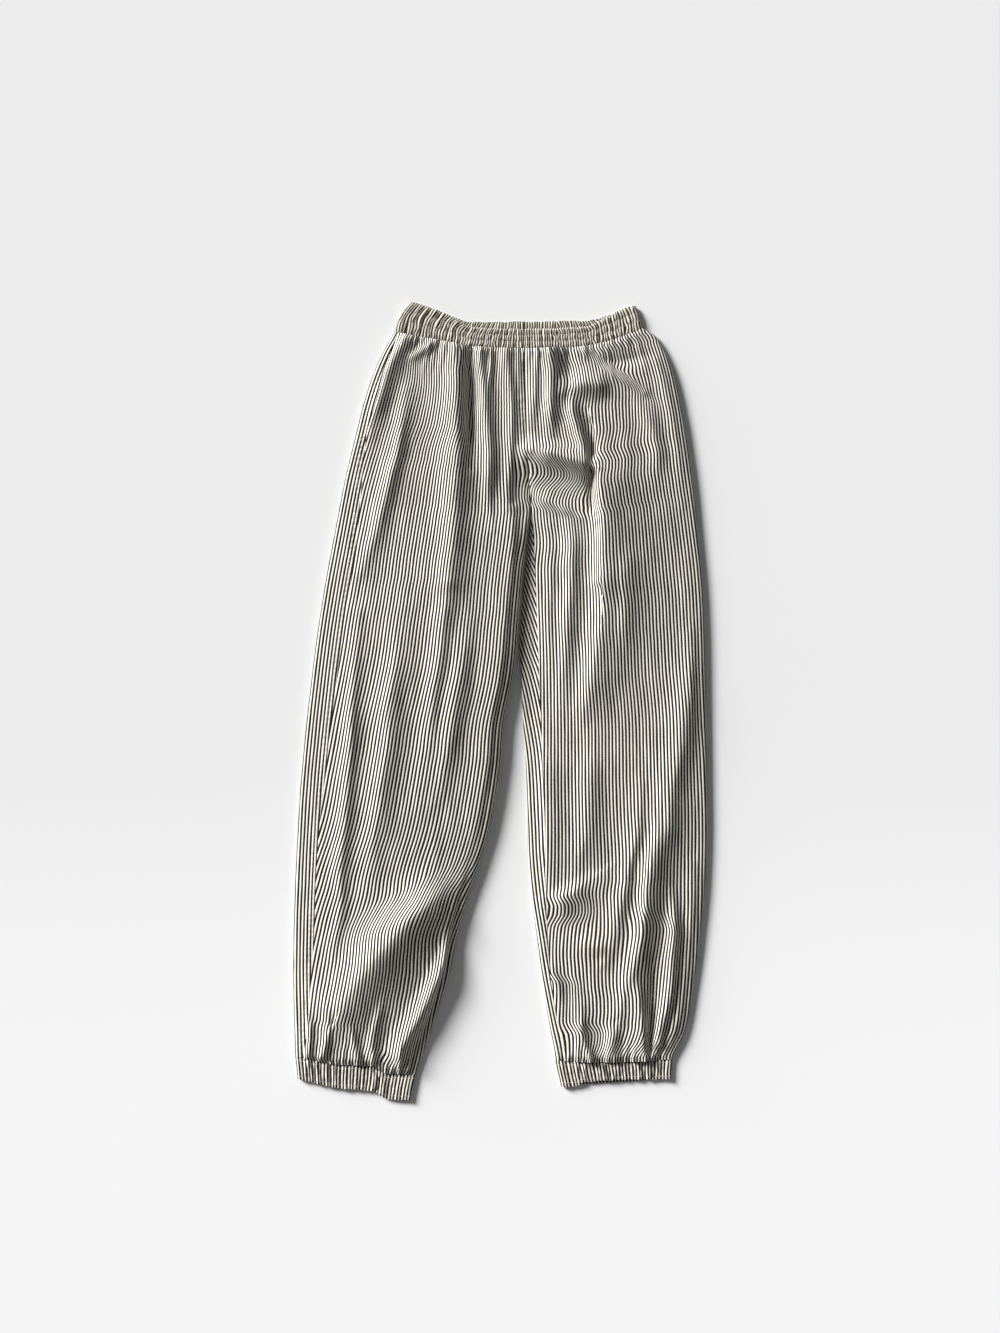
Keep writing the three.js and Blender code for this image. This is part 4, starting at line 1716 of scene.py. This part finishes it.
@dataclass(frozen=True)
class CordFinish:
    """Corduroy in cream wales over dark furrows."""

    name: str
    cream: Color
    dark: Color
    relief: float
    unevenness: float
    pitch: float = STRIPE_PITCH
    roughness: float = 0.92
    specular: float = 0.1
    sheen: float = 0.06
    sheen_roughness: float = 0.6

    def material(self) -> bpy.types.Material:
        """Make the material.

        Returns:
            The material.
        """
        material = bpy.data.materials.new(self.name)
        material.use_nodes = True
        tree = material.node_tree
        nodes = tree.nodes
        shader = nodes["Principled BSDF"]
        shader.inputs["Roughness"].default_value = self.roughness
        shader.inputs["Specular IOR Level"].default_value = self.specular
        shader.inputs["Sheen Weight"].default_value = self.sheen
        shader.inputs["Sheen Roughness"].default_value = self.sheen_roughness
        uv = nodes.new("ShaderNodeUVMap")
        uv.uv_map = "cloth"
        wales = nodes.new("ShaderNodeGroup")
        wales.node_tree = wale_group()
        wales.inputs["Pitch"].default_value = self.pitch / UV_UNIT
        wales.inputs["Unevenness"].default_value = self.unevenness
        tree.links.new(uv.outputs["UV"], wales.inputs["Cloth"])
        wear = nodes.new("ShaderNodeGroup")
        wear.node_tree = wear_group()
        wear.inputs["Cream"].default_value = (*self.cream, 1.0)
        wear.inputs["Dark"].default_value = (*self.dark, 1.0)
        tree.links.new(wales.outputs["Wale"], wear.inputs["Wale"])
        tree.links.new(wales.outputs["Nap"], wear.inputs["Nap"])
        tree.links.new(wear.outputs["Color"], shader.inputs["Base Color"])
        bump = nodes.new("ShaderNodeBump")
        bump.inputs["Strength"].default_value = 1.0
        bump.inputs["Distance"].default_value = self.relief * MM
        tree.links.new(wales.outputs["Height"], bump.inputs["Height"])
        tree.links.new(bump.outputs["Normal"], shader.inputs["Normal"])
        return material


class NodeKit:
    """Short ways to add math to a shader node tree."""

    def __init__(self, tree: bpy.types.NodeTree) -> None:
        """Keep the tree that nodes are added to.

        Args:
            tree: The tree.
        """
        self.tree = tree

    def math(self, operation: str, *values: Socket | float) -> Socket:
        """Add a math node.

        Args:
            operation: Blender's name of the operation.
            values: Sockets or numbers that it takes.

        Returns:
            Its result.
        """
        node = self.tree.nodes.new("ShaderNodeMath")
        node.operation = operation
        for slot, value in zip(node.inputs, values):
            if isinstance(value, Socket):
                self.tree.links.new(value, slot)
            else:
                slot.default_value = value
        return node.outputs[0]

    def noise(self, vector: Socket, scale: float, detail: float) -> Socket:
        """Add a noise texture.

        Args:
            vector: Where it is read.
            scale: How fine it is.
            detail: How many finer layers it has.

        Returns:
            Its value.
        """
        node = self.tree.nodes.new("ShaderNodeTexNoise")
        node.inputs["Scale"].default_value = scale
        node.inputs["Detail"].default_value = detail
        self.tree.links.new(vector, node.inputs["Vector"])
        return node.outputs["Fac"]

    def stretch(self, vector: Socket, scale: tuple[float, float, float]) -> Socket:
        """Scale a vector.

        Args:
            vector: The vector.
            scale: Its scale along X, Y and Z.

        Returns:
            The scaled vector.
        """
        node = self.tree.nodes.new("ShaderNodeMapping")
        node.inputs["Scale"].default_value = scale
        self.tree.links.new(vector, node.inputs["Vector"])
        return node.outputs["Vector"]

    def mix_color(self, share: Socket, first: Socket | Color, second: Socket | Color) -> Socket:
        """Blend two colours.

        Args:
            share: Share of the second colour.
            first: A colour or the socket of one.
            second: A colour or the socket of one.

        Returns:
            The blended colour.
        """
        node = self.tree.nodes.new("ShaderNodeMix")
        node.data_type = "RGBA"
        self.tree.links.new(share, node.inputs["Factor"])
        for slot, value in ((node.inputs[6], first), (node.inputs[7], second)):
            if isinstance(value, Socket):
                self.tree.links.new(value, slot)
            else:
                slot.default_value = (*value, 1.0)
        return node.outputs[2]


def add_sockets(tree: bpy.types.NodeTree, way: str, sockets: dict[str, str]) -> None:
    """Give a group its inputs or outputs.

    Args:
        tree: The group.
        way: INPUT or OUTPUT.
        sockets: Kinds of socket by name, without the words that every kind begins with.
    """
    for label, kind in sockets.items():
        tree.interface.new_socket(label, in_out=way, socket_type=f"NodeSocket{kind}")


# Striped cloth, on the flat cloth: fineness of the stripes' drift, of their ragged edges and of the
# nap, across and along the stripes
DRIFT_GRAIN = (22.0, 2.0, 1.0)
TOOTH_GRAIN = (60.0, 55.0, 1.0)
NAP_GRAIN = (90.0, 120.0, 1.0)

# How far teeth and nap move a stripe's edge, the edge's two sides on the wave from furrow to wale,
# and the nap's share of the relief
TOOTH = 0.09
NAP_EDGE = 0.26
FURROW_SIDE = 0.02
WALE_SIDE = 0.36
NAP_HEIGHT = 0.35

# Wear, in the object's own space: fineness and strength of the warm tint of the furrows, how far
# the nap fades them, and fineness and strength of the yellowed patches of the wales
BROWN = (0.085, 0.05, 0.03)
BROWN_FINENESS = 9.0
BROWN_START = 0.5
BROWN_END = 0.8
BROWN_MOST = 0.35
FADED = (0.09, 0.08, 0.065)
FADED_MOST = 0.09
YELLOWED = (0.62, 0.56, 0.45)
YELLOWED_FINENESS = 26.0
YELLOWED_MOST = 0.22


def wale_group() -> bpy.types.NodeTree:
    """Make or find the group that draws wales and furrows across the flat cloth.

    Returns:
        The group: Wale is one on a cream wale and nought in a furrow.
    """
    if "wales" in bpy.data.node_groups:
        return bpy.data.node_groups["wales"]
    group = bpy.data.node_groups.new("wales", "ShaderNodeTree")
    add_sockets(group, "INPUT", {"Cloth": "Vector", "Pitch": "Float", "Unevenness": "Float"})
    add_sockets(group, "OUTPUT", {"Wale": "Float", "Height": "Float", "Nap": "Float"})
    kit = NodeKit(group)
    start = group.nodes.new("NodeGroupInput")
    end = group.nodes.new("NodeGroupOutput")
    cloth = start.outputs["Cloth"]
    split = group.nodes.new("ShaderNodeSeparateXYZ")
    group.links.new(cloth, split.inputs[0])
    drift = kit.math("SUBTRACT", kit.noise(kit.stretch(cloth, DRIFT_GRAIN), 1.0, 1.0), 0.5)
    drift = kit.math("MULTIPLY", drift, start.outputs["Unevenness"])
    tooth = kit.math("SUBTRACT", kit.noise(kit.stretch(cloth, TOOTH_GRAIN), 1.0, 2.0), 0.5)
    tooth = kit.math("MULTIPLY", tooth, TOOTH)
    turn = kit.math("DIVIDE", split.outputs["X"], start.outputs["Pitch"])
    turn = kit.math("ADD", kit.math("ADD", turn, drift), tooth)
    wave = kit.math("COSINE", kit.math("MULTIPLY", turn, 2 * pi))
    nap = kit.noise(kit.stretch(cloth, NAP_GRAIN), 1.0, 3.0)
    edge = kit.math("ADD", wave, kit.math("MULTIPLY", kit.math("SUBTRACT", nap, 0.5), NAP_EDGE))
    wale = group.nodes.new("ShaderNodeMapRange")
    wale.interpolation_type = "SMOOTHSTEP"
    wale.inputs["From Min"].default_value = FURROW_SIDE
    wale.inputs["From Max"].default_value = WALE_SIDE
    group.links.new(edge, wale.inputs["Value"])
    rounded = kit.math("MULTIPLY_ADD", wave, 0.5, 0.5)
    height = kit.math("ADD", rounded, kit.math("MULTIPLY", nap, NAP_HEIGHT))
    group.links.new(wale.outputs["Result"], end.inputs["Wale"])
    group.links.new(height, end.inputs["Height"])
    group.links.new(nap, end.inputs["Nap"])
    return group


def wear_group() -> bpy.types.NodeTree:
    """Make or find the group that colours wales and furrows, with uneven dye and a warm tint.

    Returns:
        The group.
    """
    if "dye and wear" in bpy.data.node_groups:
        return bpy.data.node_groups["dye and wear"]
    group = bpy.data.node_groups.new("dye and wear", "ShaderNodeTree")
    add_sockets(group, "INPUT", {"Wale": "Float", "Nap": "Float", "Cream": "Color", "Dark": "Color"})
    add_sockets(group, "OUTPUT", {"Color": "Color"})
    kit = NodeKit(group)
    start = group.nodes.new("NodeGroupInput")
    end = group.nodes.new("NodeGroupOutput")
    place = group.nodes.new("ShaderNodeTexCoord").outputs["Object"]
    brown = group.nodes.new("ShaderNodeMapRange")
    brown.inputs["From Min"].default_value = BROWN_START
    brown.inputs["From Max"].default_value = BROWN_END
    brown.inputs["To Max"].default_value = BROWN_MOST
    group.links.new(kit.noise(place, BROWN_FINENESS, 3.0), brown.inputs["Value"])
    dark = kit.mix_color(brown.outputs["Result"], start.outputs["Dark"], BROWN)
    dark = kit.mix_color(kit.math("MULTIPLY", start.outputs["Nap"], FADED_MOST), dark, FADED)
    aged = kit.math("MULTIPLY", kit.noise(place, YELLOWED_FINENESS, 2.0), YELLOWED_MOST)
    cream = kit.mix_color(aged, start.outputs["Cream"], YELLOWED)
    group.links.new(kit.mix_color(start.outputs["Wale"], dark, cream), end.inputs["Color"])
    return group


@dataclass(frozen=True)
class ThreadFinish:
    """Twisted cotton thread."""

    name: str
    color: Color
    worn: float = 0.6
    fineness: float = 300.0
    twist: float = 900.0
    relief: float = 0.05
    roughness: float = 0.7
    specular: float = 0.2
    sheen: float = 0.1

    def material(self) -> bpy.types.Material:
        """Make the material.

        Returns:
            The material.
        """
        material = bpy.data.materials.new(self.name)
        material.use_nodes = True
        tree = material.node_tree
        kit = NodeKit(tree)
        shader = tree.nodes["Principled BSDF"]
        shader.inputs["Roughness"].default_value = self.roughness
        shader.inputs["Specular IOR Level"].default_value = self.specular
        shader.inputs["Sheen Weight"].default_value = self.sheen
        place = tree.nodes.new("ShaderNodeTexCoord").outputs["Object"]
        shade = kit.noise(place, self.fineness, 1.0)
        worn = tuple(self.worn * part for part in self.color)
        tree.links.new(kit.mix_color(shade, self.color, worn), shader.inputs["Base Color"])
        strands = tree.nodes.new("ShaderNodeTexWave")
        strands.wave_type = "BANDS"
        strands.bands_direction = "DIAGONAL"
        strands.inputs["Scale"].default_value = self.twist
        tree.links.new(place, strands.inputs["Vector"])
        bump = tree.nodes.new("ShaderNodeBump")
        bump.inputs["Distance"].default_value = self.relief * MM
        tree.links.new(strands.outputs["Fac"], bump.inputs["Height"])
        tree.links.new(bump.outputs["Normal"], shader.inputs["Normal"])
        return material


# Stitch: the faces round and along it, and how far it rolls and tips as a share of its turn
STITCH_SEGMENTS = 8
STITCH_RINGS = 6
STITCH_TIP = 0.2


def stitch_tree() -> bpy.types.GeometryNodeTree:
    """Make or find the geometry nodes that sew thread along a line.

    Returns:
        The tree. Its inputs are Pitch, Length, Thickness, Unevenness, Seed and Thread.
    """
    if "stitches" in bpy.data.node_groups:
        return bpy.data.node_groups["stitches"]
    tree = bpy.data.node_groups.new("stitches", "GeometryNodeTree")
    add_sockets(tree, "INPUT", {"Geometry": "Geometry", "Pitch": "Float", "Length": "Float"})
    add_sockets(tree, "INPUT", {"Thickness": "Float", "Unevenness": "Float", "Seed": "Int"})
    add_sockets(tree, "INPUT", {"Thread": "Material"})
    add_sockets(tree, "OUTPUT", {"Geometry": "Geometry"})
    nodes = tree.nodes
    link = tree.links.new
    start = nodes.new("NodeGroupInput")
    end = nodes.new("NodeGroupOutput")
    curve = nodes.new("GeometryNodeMeshToCurve")
    link(start.outputs["Geometry"], curve.inputs["Mesh"])
    spaced = nodes.new("GeometryNodeResampleCurve")
    spaced.mode = "LENGTH"
    link(curve.outputs["Curve"], spaced.inputs["Curve"])
    link(start.outputs["Pitch"], spaced.inputs["Length"])
    stitch = nodes.new("GeometryNodeMeshUVSphere")
    stitch.inputs["Segments"].default_value = STITCH_SEGMENTS
    stitch.inputs["Rings"].default_value = STITCH_RINGS
    stitch.inputs["Radius"].default_value = 0.5
    uneven = nodes.new("FunctionNodeRandomValue")
    uneven.data_type = "FLOAT_VECTOR"
    link(start.outputs["Seed"], uneven.inputs["Seed"])
    for label, sign in (("Min", -1.0), ("Max", 1.0)):
        limit = nodes.new("ShaderNodeVectorMath")
        limit.operation = "SCALE"
        limit.inputs[0].default_value = (STITCH_TIP * sign, STITCH_TIP * sign, sign)
        link(start.outputs["Unevenness"], limit.inputs["Scale"])
        link(limit.outputs["Vector"], uneven.inputs[label])
    aim = nodes.new("FunctionNodeAlignRotationToVector")
    aim.axis = "X"
    link(nodes.new("GeometryNodeInputTangent").outputs["Tangent"], aim.inputs["Vector"])
    turn = nodes.new("FunctionNodeRotateRotation")
    turn.rotation_space = "LOCAL"
    link(aim.outputs["Rotation"], turn.inputs["Rotation"])
    link(uneven.outputs["Value"], turn.inputs["Rotate By"])
    size = nodes.new("ShaderNodeCombineXYZ")
    link(start.outputs["Length"], size.inputs["X"])
    link(start.outputs["Thickness"], size.inputs["Y"])
    link(start.outputs["Thickness"], size.inputs["Z"])
    sewn = nodes.new("GeometryNodeInstanceOnPoints")
    link(spaced.outputs["Curve"], sewn.inputs["Points"])
    link(stitch.outputs["Mesh"], sewn.inputs["Instance"])
    link(turn.outputs["Rotation"], sewn.inputs["Rotation"])
    link(size.outputs["Vector"], sewn.inputs["Scale"])
    real = nodes.new("GeometryNodeRealizeInstances")
    link(sewn.outputs["Instances"], real.inputs["Geometry"])
    thread = nodes.new("GeometryNodeSetMaterial")
    link(real.outputs["Geometry"], thread.inputs["Geometry"])
    link(start.outputs["Thread"], thread.inputs["Material"])
    link(thread.outputs["Geometry"], end.inputs["Geometry"])
    return tree


@dataclass
class Stitching:
    """Rows of thread sewn through the cloth, along lines on its outer face."""

    name: str
    slot: str
    lines: list[Array]
    pitch: float = 3.0
    length: float = 2.3
    thickness: float = 0.55
    unevenness: float = 0.12
    seed: int = 3

    def build(self, finish: ThreadFinish) -> bpy.types.Object:
        """Sew the rows.

        Args:
            finish: The thread.

        Returns:
            The stitches as one plain mesh.
        """
        mesh = bpy.data.meshes.new(self.name)
        points = np.concatenate(self.lines) * MM
        edges = []
        first = 0
        for line in self.lines:
            edges += [(first + k, first + k + 1) for k in range(len(line) - 1)]
            first += len(line)
        mesh.from_pydata(points.tolist(), edges, [])
        piece = bpy.data.objects.new(self.name, mesh)
        bpy.context.scene.collection.objects.link(piece)
        tree = stitch_tree()
        sewing = piece.modifiers.new("sewing", "NODES")
        sewing.node_group = tree
        values = {
            "Pitch": self.pitch * MM,
            "Length": self.length * MM,
            "Thickness": self.thickness * MM,
            "Unevenness": self.unevenness,
            "Seed": self.seed,
            "Thread": MATERIALS[finish.name],
        }
        for item in tree.interface.items_tree:
            if item.in_out == "INPUT" and item.name in values:
                sewing[item.identifier] = values[item.name]
        applied(piece)
        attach(piece, "root")
        LOG.info("%s: %d faces", piece.name, len(piece.data.polygons))
        return piece


CREAM = (0.93, 0.9, 0.82)
DARK = (0.013, 0.0105, 0.008)
CORDUROY = CordFinish("striped corduroy", CREAM, DARK, relief=0.35, unevenness=0.25)
SHIRRING = CordFinish(
    "shirred corduroy", (0.74, 0.695, 0.6), (0.045, 0.039, 0.03), relief=0.3, unevenness=0.5
)
CUFFING = CordFinish("cuff corduroy", (0.88, 0.84, 0.75), DARK, relief=0.35, unevenness=0.4)
POCKETING = CordFinish(
    "pocket cloth", (0.6, 0.55, 0.47), (0.03, 0.026, 0.02), relief=0.3, unevenness=0.25
)
THREAD = ThreadFinish("cotton thread", (0.86, 0.82, 0.72))

# Materials by name of finish, once they are made
MATERIALS: dict[str, bpy.types.Material] = {}


@dataclass
class Studio:
    """Floor, lights and the camera straight above."""

    tall: float = 1.66625
    centre: tuple[float, float] = (-0.0003, 0.0428)
    distance: float = 3.4
    sensor: float = 36.0
    floor_size: float = 120.0
    floor_drop: float = 0.0002
    # Floor colour from grey towards the waist to pale by the cuffs, and where along Y the change begins
    # and ends: painted shade standing in for light that falls off
    floor_grey: float = 0.82
    floor_pale: float = 0.9
    grey_from: float = 0.02
    pale_from: float = -0.48
    turn: float = radians(143.0)
    key_strength: float = 4.95
    key_height: float = radians(28.0)
    key_softness: float = radians(20.0)
    low_strength: float = 1.8
    low_height: float = radians(14.0)
    low_softness: float = radians(26.0)
    fill_strength: float = 0.14

    def floor(self) -> None:
        """Lay the pale floor that the trousers rest on, a little paler towards the cuffs, with painted
        shade greying its colour towards the waist where the light falls off.
        """
        bpy.ops.mesh.primitive_plane_add(size=self.floor_size, location=(0.0, 0.0, -self.floor_drop))
        floor = bpy.context.object
        floor.name = "floor"
        material = bpy.data.materials.new("pale floor")
        material.use_nodes = True
        tree = material.node_tree
        shader = tree.nodes["Principled BSDF"]
        shader.inputs["Roughness"].default_value = 0.9
        shader.inputs["Specular IOR Level"].default_value = 0.1
        split = tree.nodes.new("ShaderNodeSeparateXYZ")
        tree.links.new(tree.nodes.new("ShaderNodeTexCoord").outputs["Object"], split.inputs[0])
        # Painted shade: the floor's colour greys from the cuffs towards the waist, in place of light
        # falling off
        grey = tree.nodes.new("ShaderNodeMapRange")
        grey.interpolation_type = "SMOOTHSTEP"
        grey.inputs["From Min"].default_value = self.grey_from
        grey.inputs["From Max"].default_value = self.pale_from
        grey.inputs["To Min"].default_value = self.floor_grey
        grey.inputs["To Max"].default_value = self.floor_pale
        tree.links.new(split.outputs["Y"], grey.inputs["Value"])
        tree.links.new(grey.outputs["Result"], shader.inputs["Base Color"])
        floor.data.materials.append(material)

    def sun(self, name: str, strength: float, height: float, softness: float) -> None:
        """Add a light from the upper left, as the camera sees it.

        Args:
            name: Its name.
            strength: Its strength.
            height: Its angle above the floor.
            softness: How wide it looks from the floor.
        """
        lamp = bpy.data.lights.new(name, "SUN")
        lamp.energy = strength
        lamp.angle = softness
        holder = bpy.data.objects.new(name, lamp)
        holder.rotation_euler = (0.0, pi / 2 - height, self.turn)
        bpy.context.scene.collection.objects.link(holder)

    def camera(self) -> None:
        """Set the camera straight above, with the photograph's framing."""
        lens = bpy.data.cameras.new("camera")
        lens.sensor_fit = "VERTICAL"
        lens.sensor_height = self.sensor
        lens.lens = self.sensor * self.distance / self.tall
        holder = bpy.data.objects.new("camera", lens)
        holder.location = (*self.centre, self.distance)
        bpy.context.scene.collection.objects.link(holder)
        bpy.context.scene.camera = holder

    def build(self) -> None:
        """Set up the whole studio."""
        self.camera()
        self.floor()
        self.sun("key", self.key_strength, self.key_height, self.key_softness)
        self.sun("low", self.low_strength, self.low_height, self.low_softness)
        world = bpy.data.worlds.new("studio")
        world.use_nodes = True
        world.node_tree.nodes["Background"].inputs["Color"].default_value = (1.0, 1.0, 1.0, 1.0)
        world.node_tree.nodes["Background"].inputs["Strength"].default_value = self.fill_strength
        bpy.context.scene.world = world
        bpy.context.scene.view_settings.view_transform = "Standard"


def dress(piece: bpy.types.Object, finish: CordFinish) -> None:
    """Give a piece its finish and tie it to the frame.

    Args:
        piece: The piece, named as the CAD node it stands for.
        finish: Its cloth.
    """
    piece.data.materials.clear()
    piece.data.materials.append(MATERIALS[finish.name])
    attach(piece, "root")
    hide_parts(piece.name.removesuffix(SUFFIX))
    LOG.info("%s: %d faces", piece.name, len(piece.data.polygons))


def sew(panel: bpy.types.Object, slot: str, lines: list[Array], seed: int) -> list[bpy.types.Object]:
    """Sew rows of stitches on a piece.

    Args:
        panel: The piece.
        slot: Name of a material slot; not used.
        lines: Points along each row.
        seed: Seed of the stitches' unevenness.

    Returns:
        The stitches, in a list, or nothing where there are no rows.
    """
    if not lines:
        return []
    name = "stitches_" + panel.name.removesuffix(SUFFIX)
    return [Stitching(name, slot, lines, seed=seed).build(THREAD)]


# Rows of stitches beside the seams: the column each follows and where it ends along Y
POCKET_COLUMN = 4
SEAM_COLUMN = 3
SIDE_ROW_LOW = -438.0
SIDE_ROW_HIGH = 332.0
CENTRE_ROW_LOW = 263.0
CENTRE_ROW_HIGH = 434.0
TACK_POINTS = 12


def build_leg(leg: Leg) -> None:
    """Build a leg's front and back panels with the rows of stitches beside their seams.

    Args:
        leg: The leg.
    """
    front = Panel(leg, Zone.FRONT)
    back = Panel(leg, Zone.BACK, start=46.0, start_columns=26, middle_columns=12, end=8.0)
    back_rows = []
    if leg.side is Side.RIGHT:
        pocket_row = front.line(POCKET_COLUMN, POCKET_LOW, POCKET_HIGH)
        front_rows = [pocket_row, on_top(leg, BAR_TACK, TACK_POINTS)]
        back_rows = [back.line(SEAM_COLUMN, SIDE_ROW_LOW, SIDE_ROW_HIGH)]
    else:
        front_rows = [front.line(SEAM_COLUMN, CENTRE_ROW_LOW, CENTRE_ROW_HIGH)]
    piece = front.build()
    dress(piece, CORDUROY)
    sewn = sew(piece, "corduroy", front_rows, 3)
    piece = back.build()
    dress(piece, CORDUROY)
    sewn = sew(piece, "corduroy", back_rows, 4)


def build_waistband() -> None:
    """Build the band's four pieces, the fronts with their rows of stitches."""
    band = Waistband()
    for piece in band.build():
        dress(piece, SHIRRING)
        sewn = sew(piece, "waistband", band.lines.get(piece.name, []), 5)


def build_cuff(leg: Leg, ends: dict[str, Track]) -> None:
    """Build a leg's cuff with its rows of stitches.

    Args:
        leg: The leg.
        ends: X of the cuff's two ends, at shares of the way down it.
    """
    cuff = Cuff(leg, ends)
    piece = cuff.build()
    dress(piece, CUFFING)
    sewn = sew(piece, "cuff", cuff.lines, 7)


def build_facing() -> None:
    """Build the strip of pocket cloth in the slit."""
    piece = PocketFacing().build()
    dress(piece, POCKETING)


def main() -> None:
    logging.basicConfig(level=logging.INFO, format="%(message)s")
    for finish in (CORDUROY, SHIRRING, CUFFING, POCKETING, THREAD):
        MATERIALS[finish.name] = finish.material()
    for leg in (RIGHT_LEG, LEFT_LEG):
        build_leg(leg)
    build_waistband()
    build_cuff(RIGHT_LEG, RIGHT_CUFF_ENDS)
    build_cuff(LEFT_LEG, LEFT_CUFF_ENDS)
    build_facing()
    Studio().build()


if __name__ == "__main__":
    main()
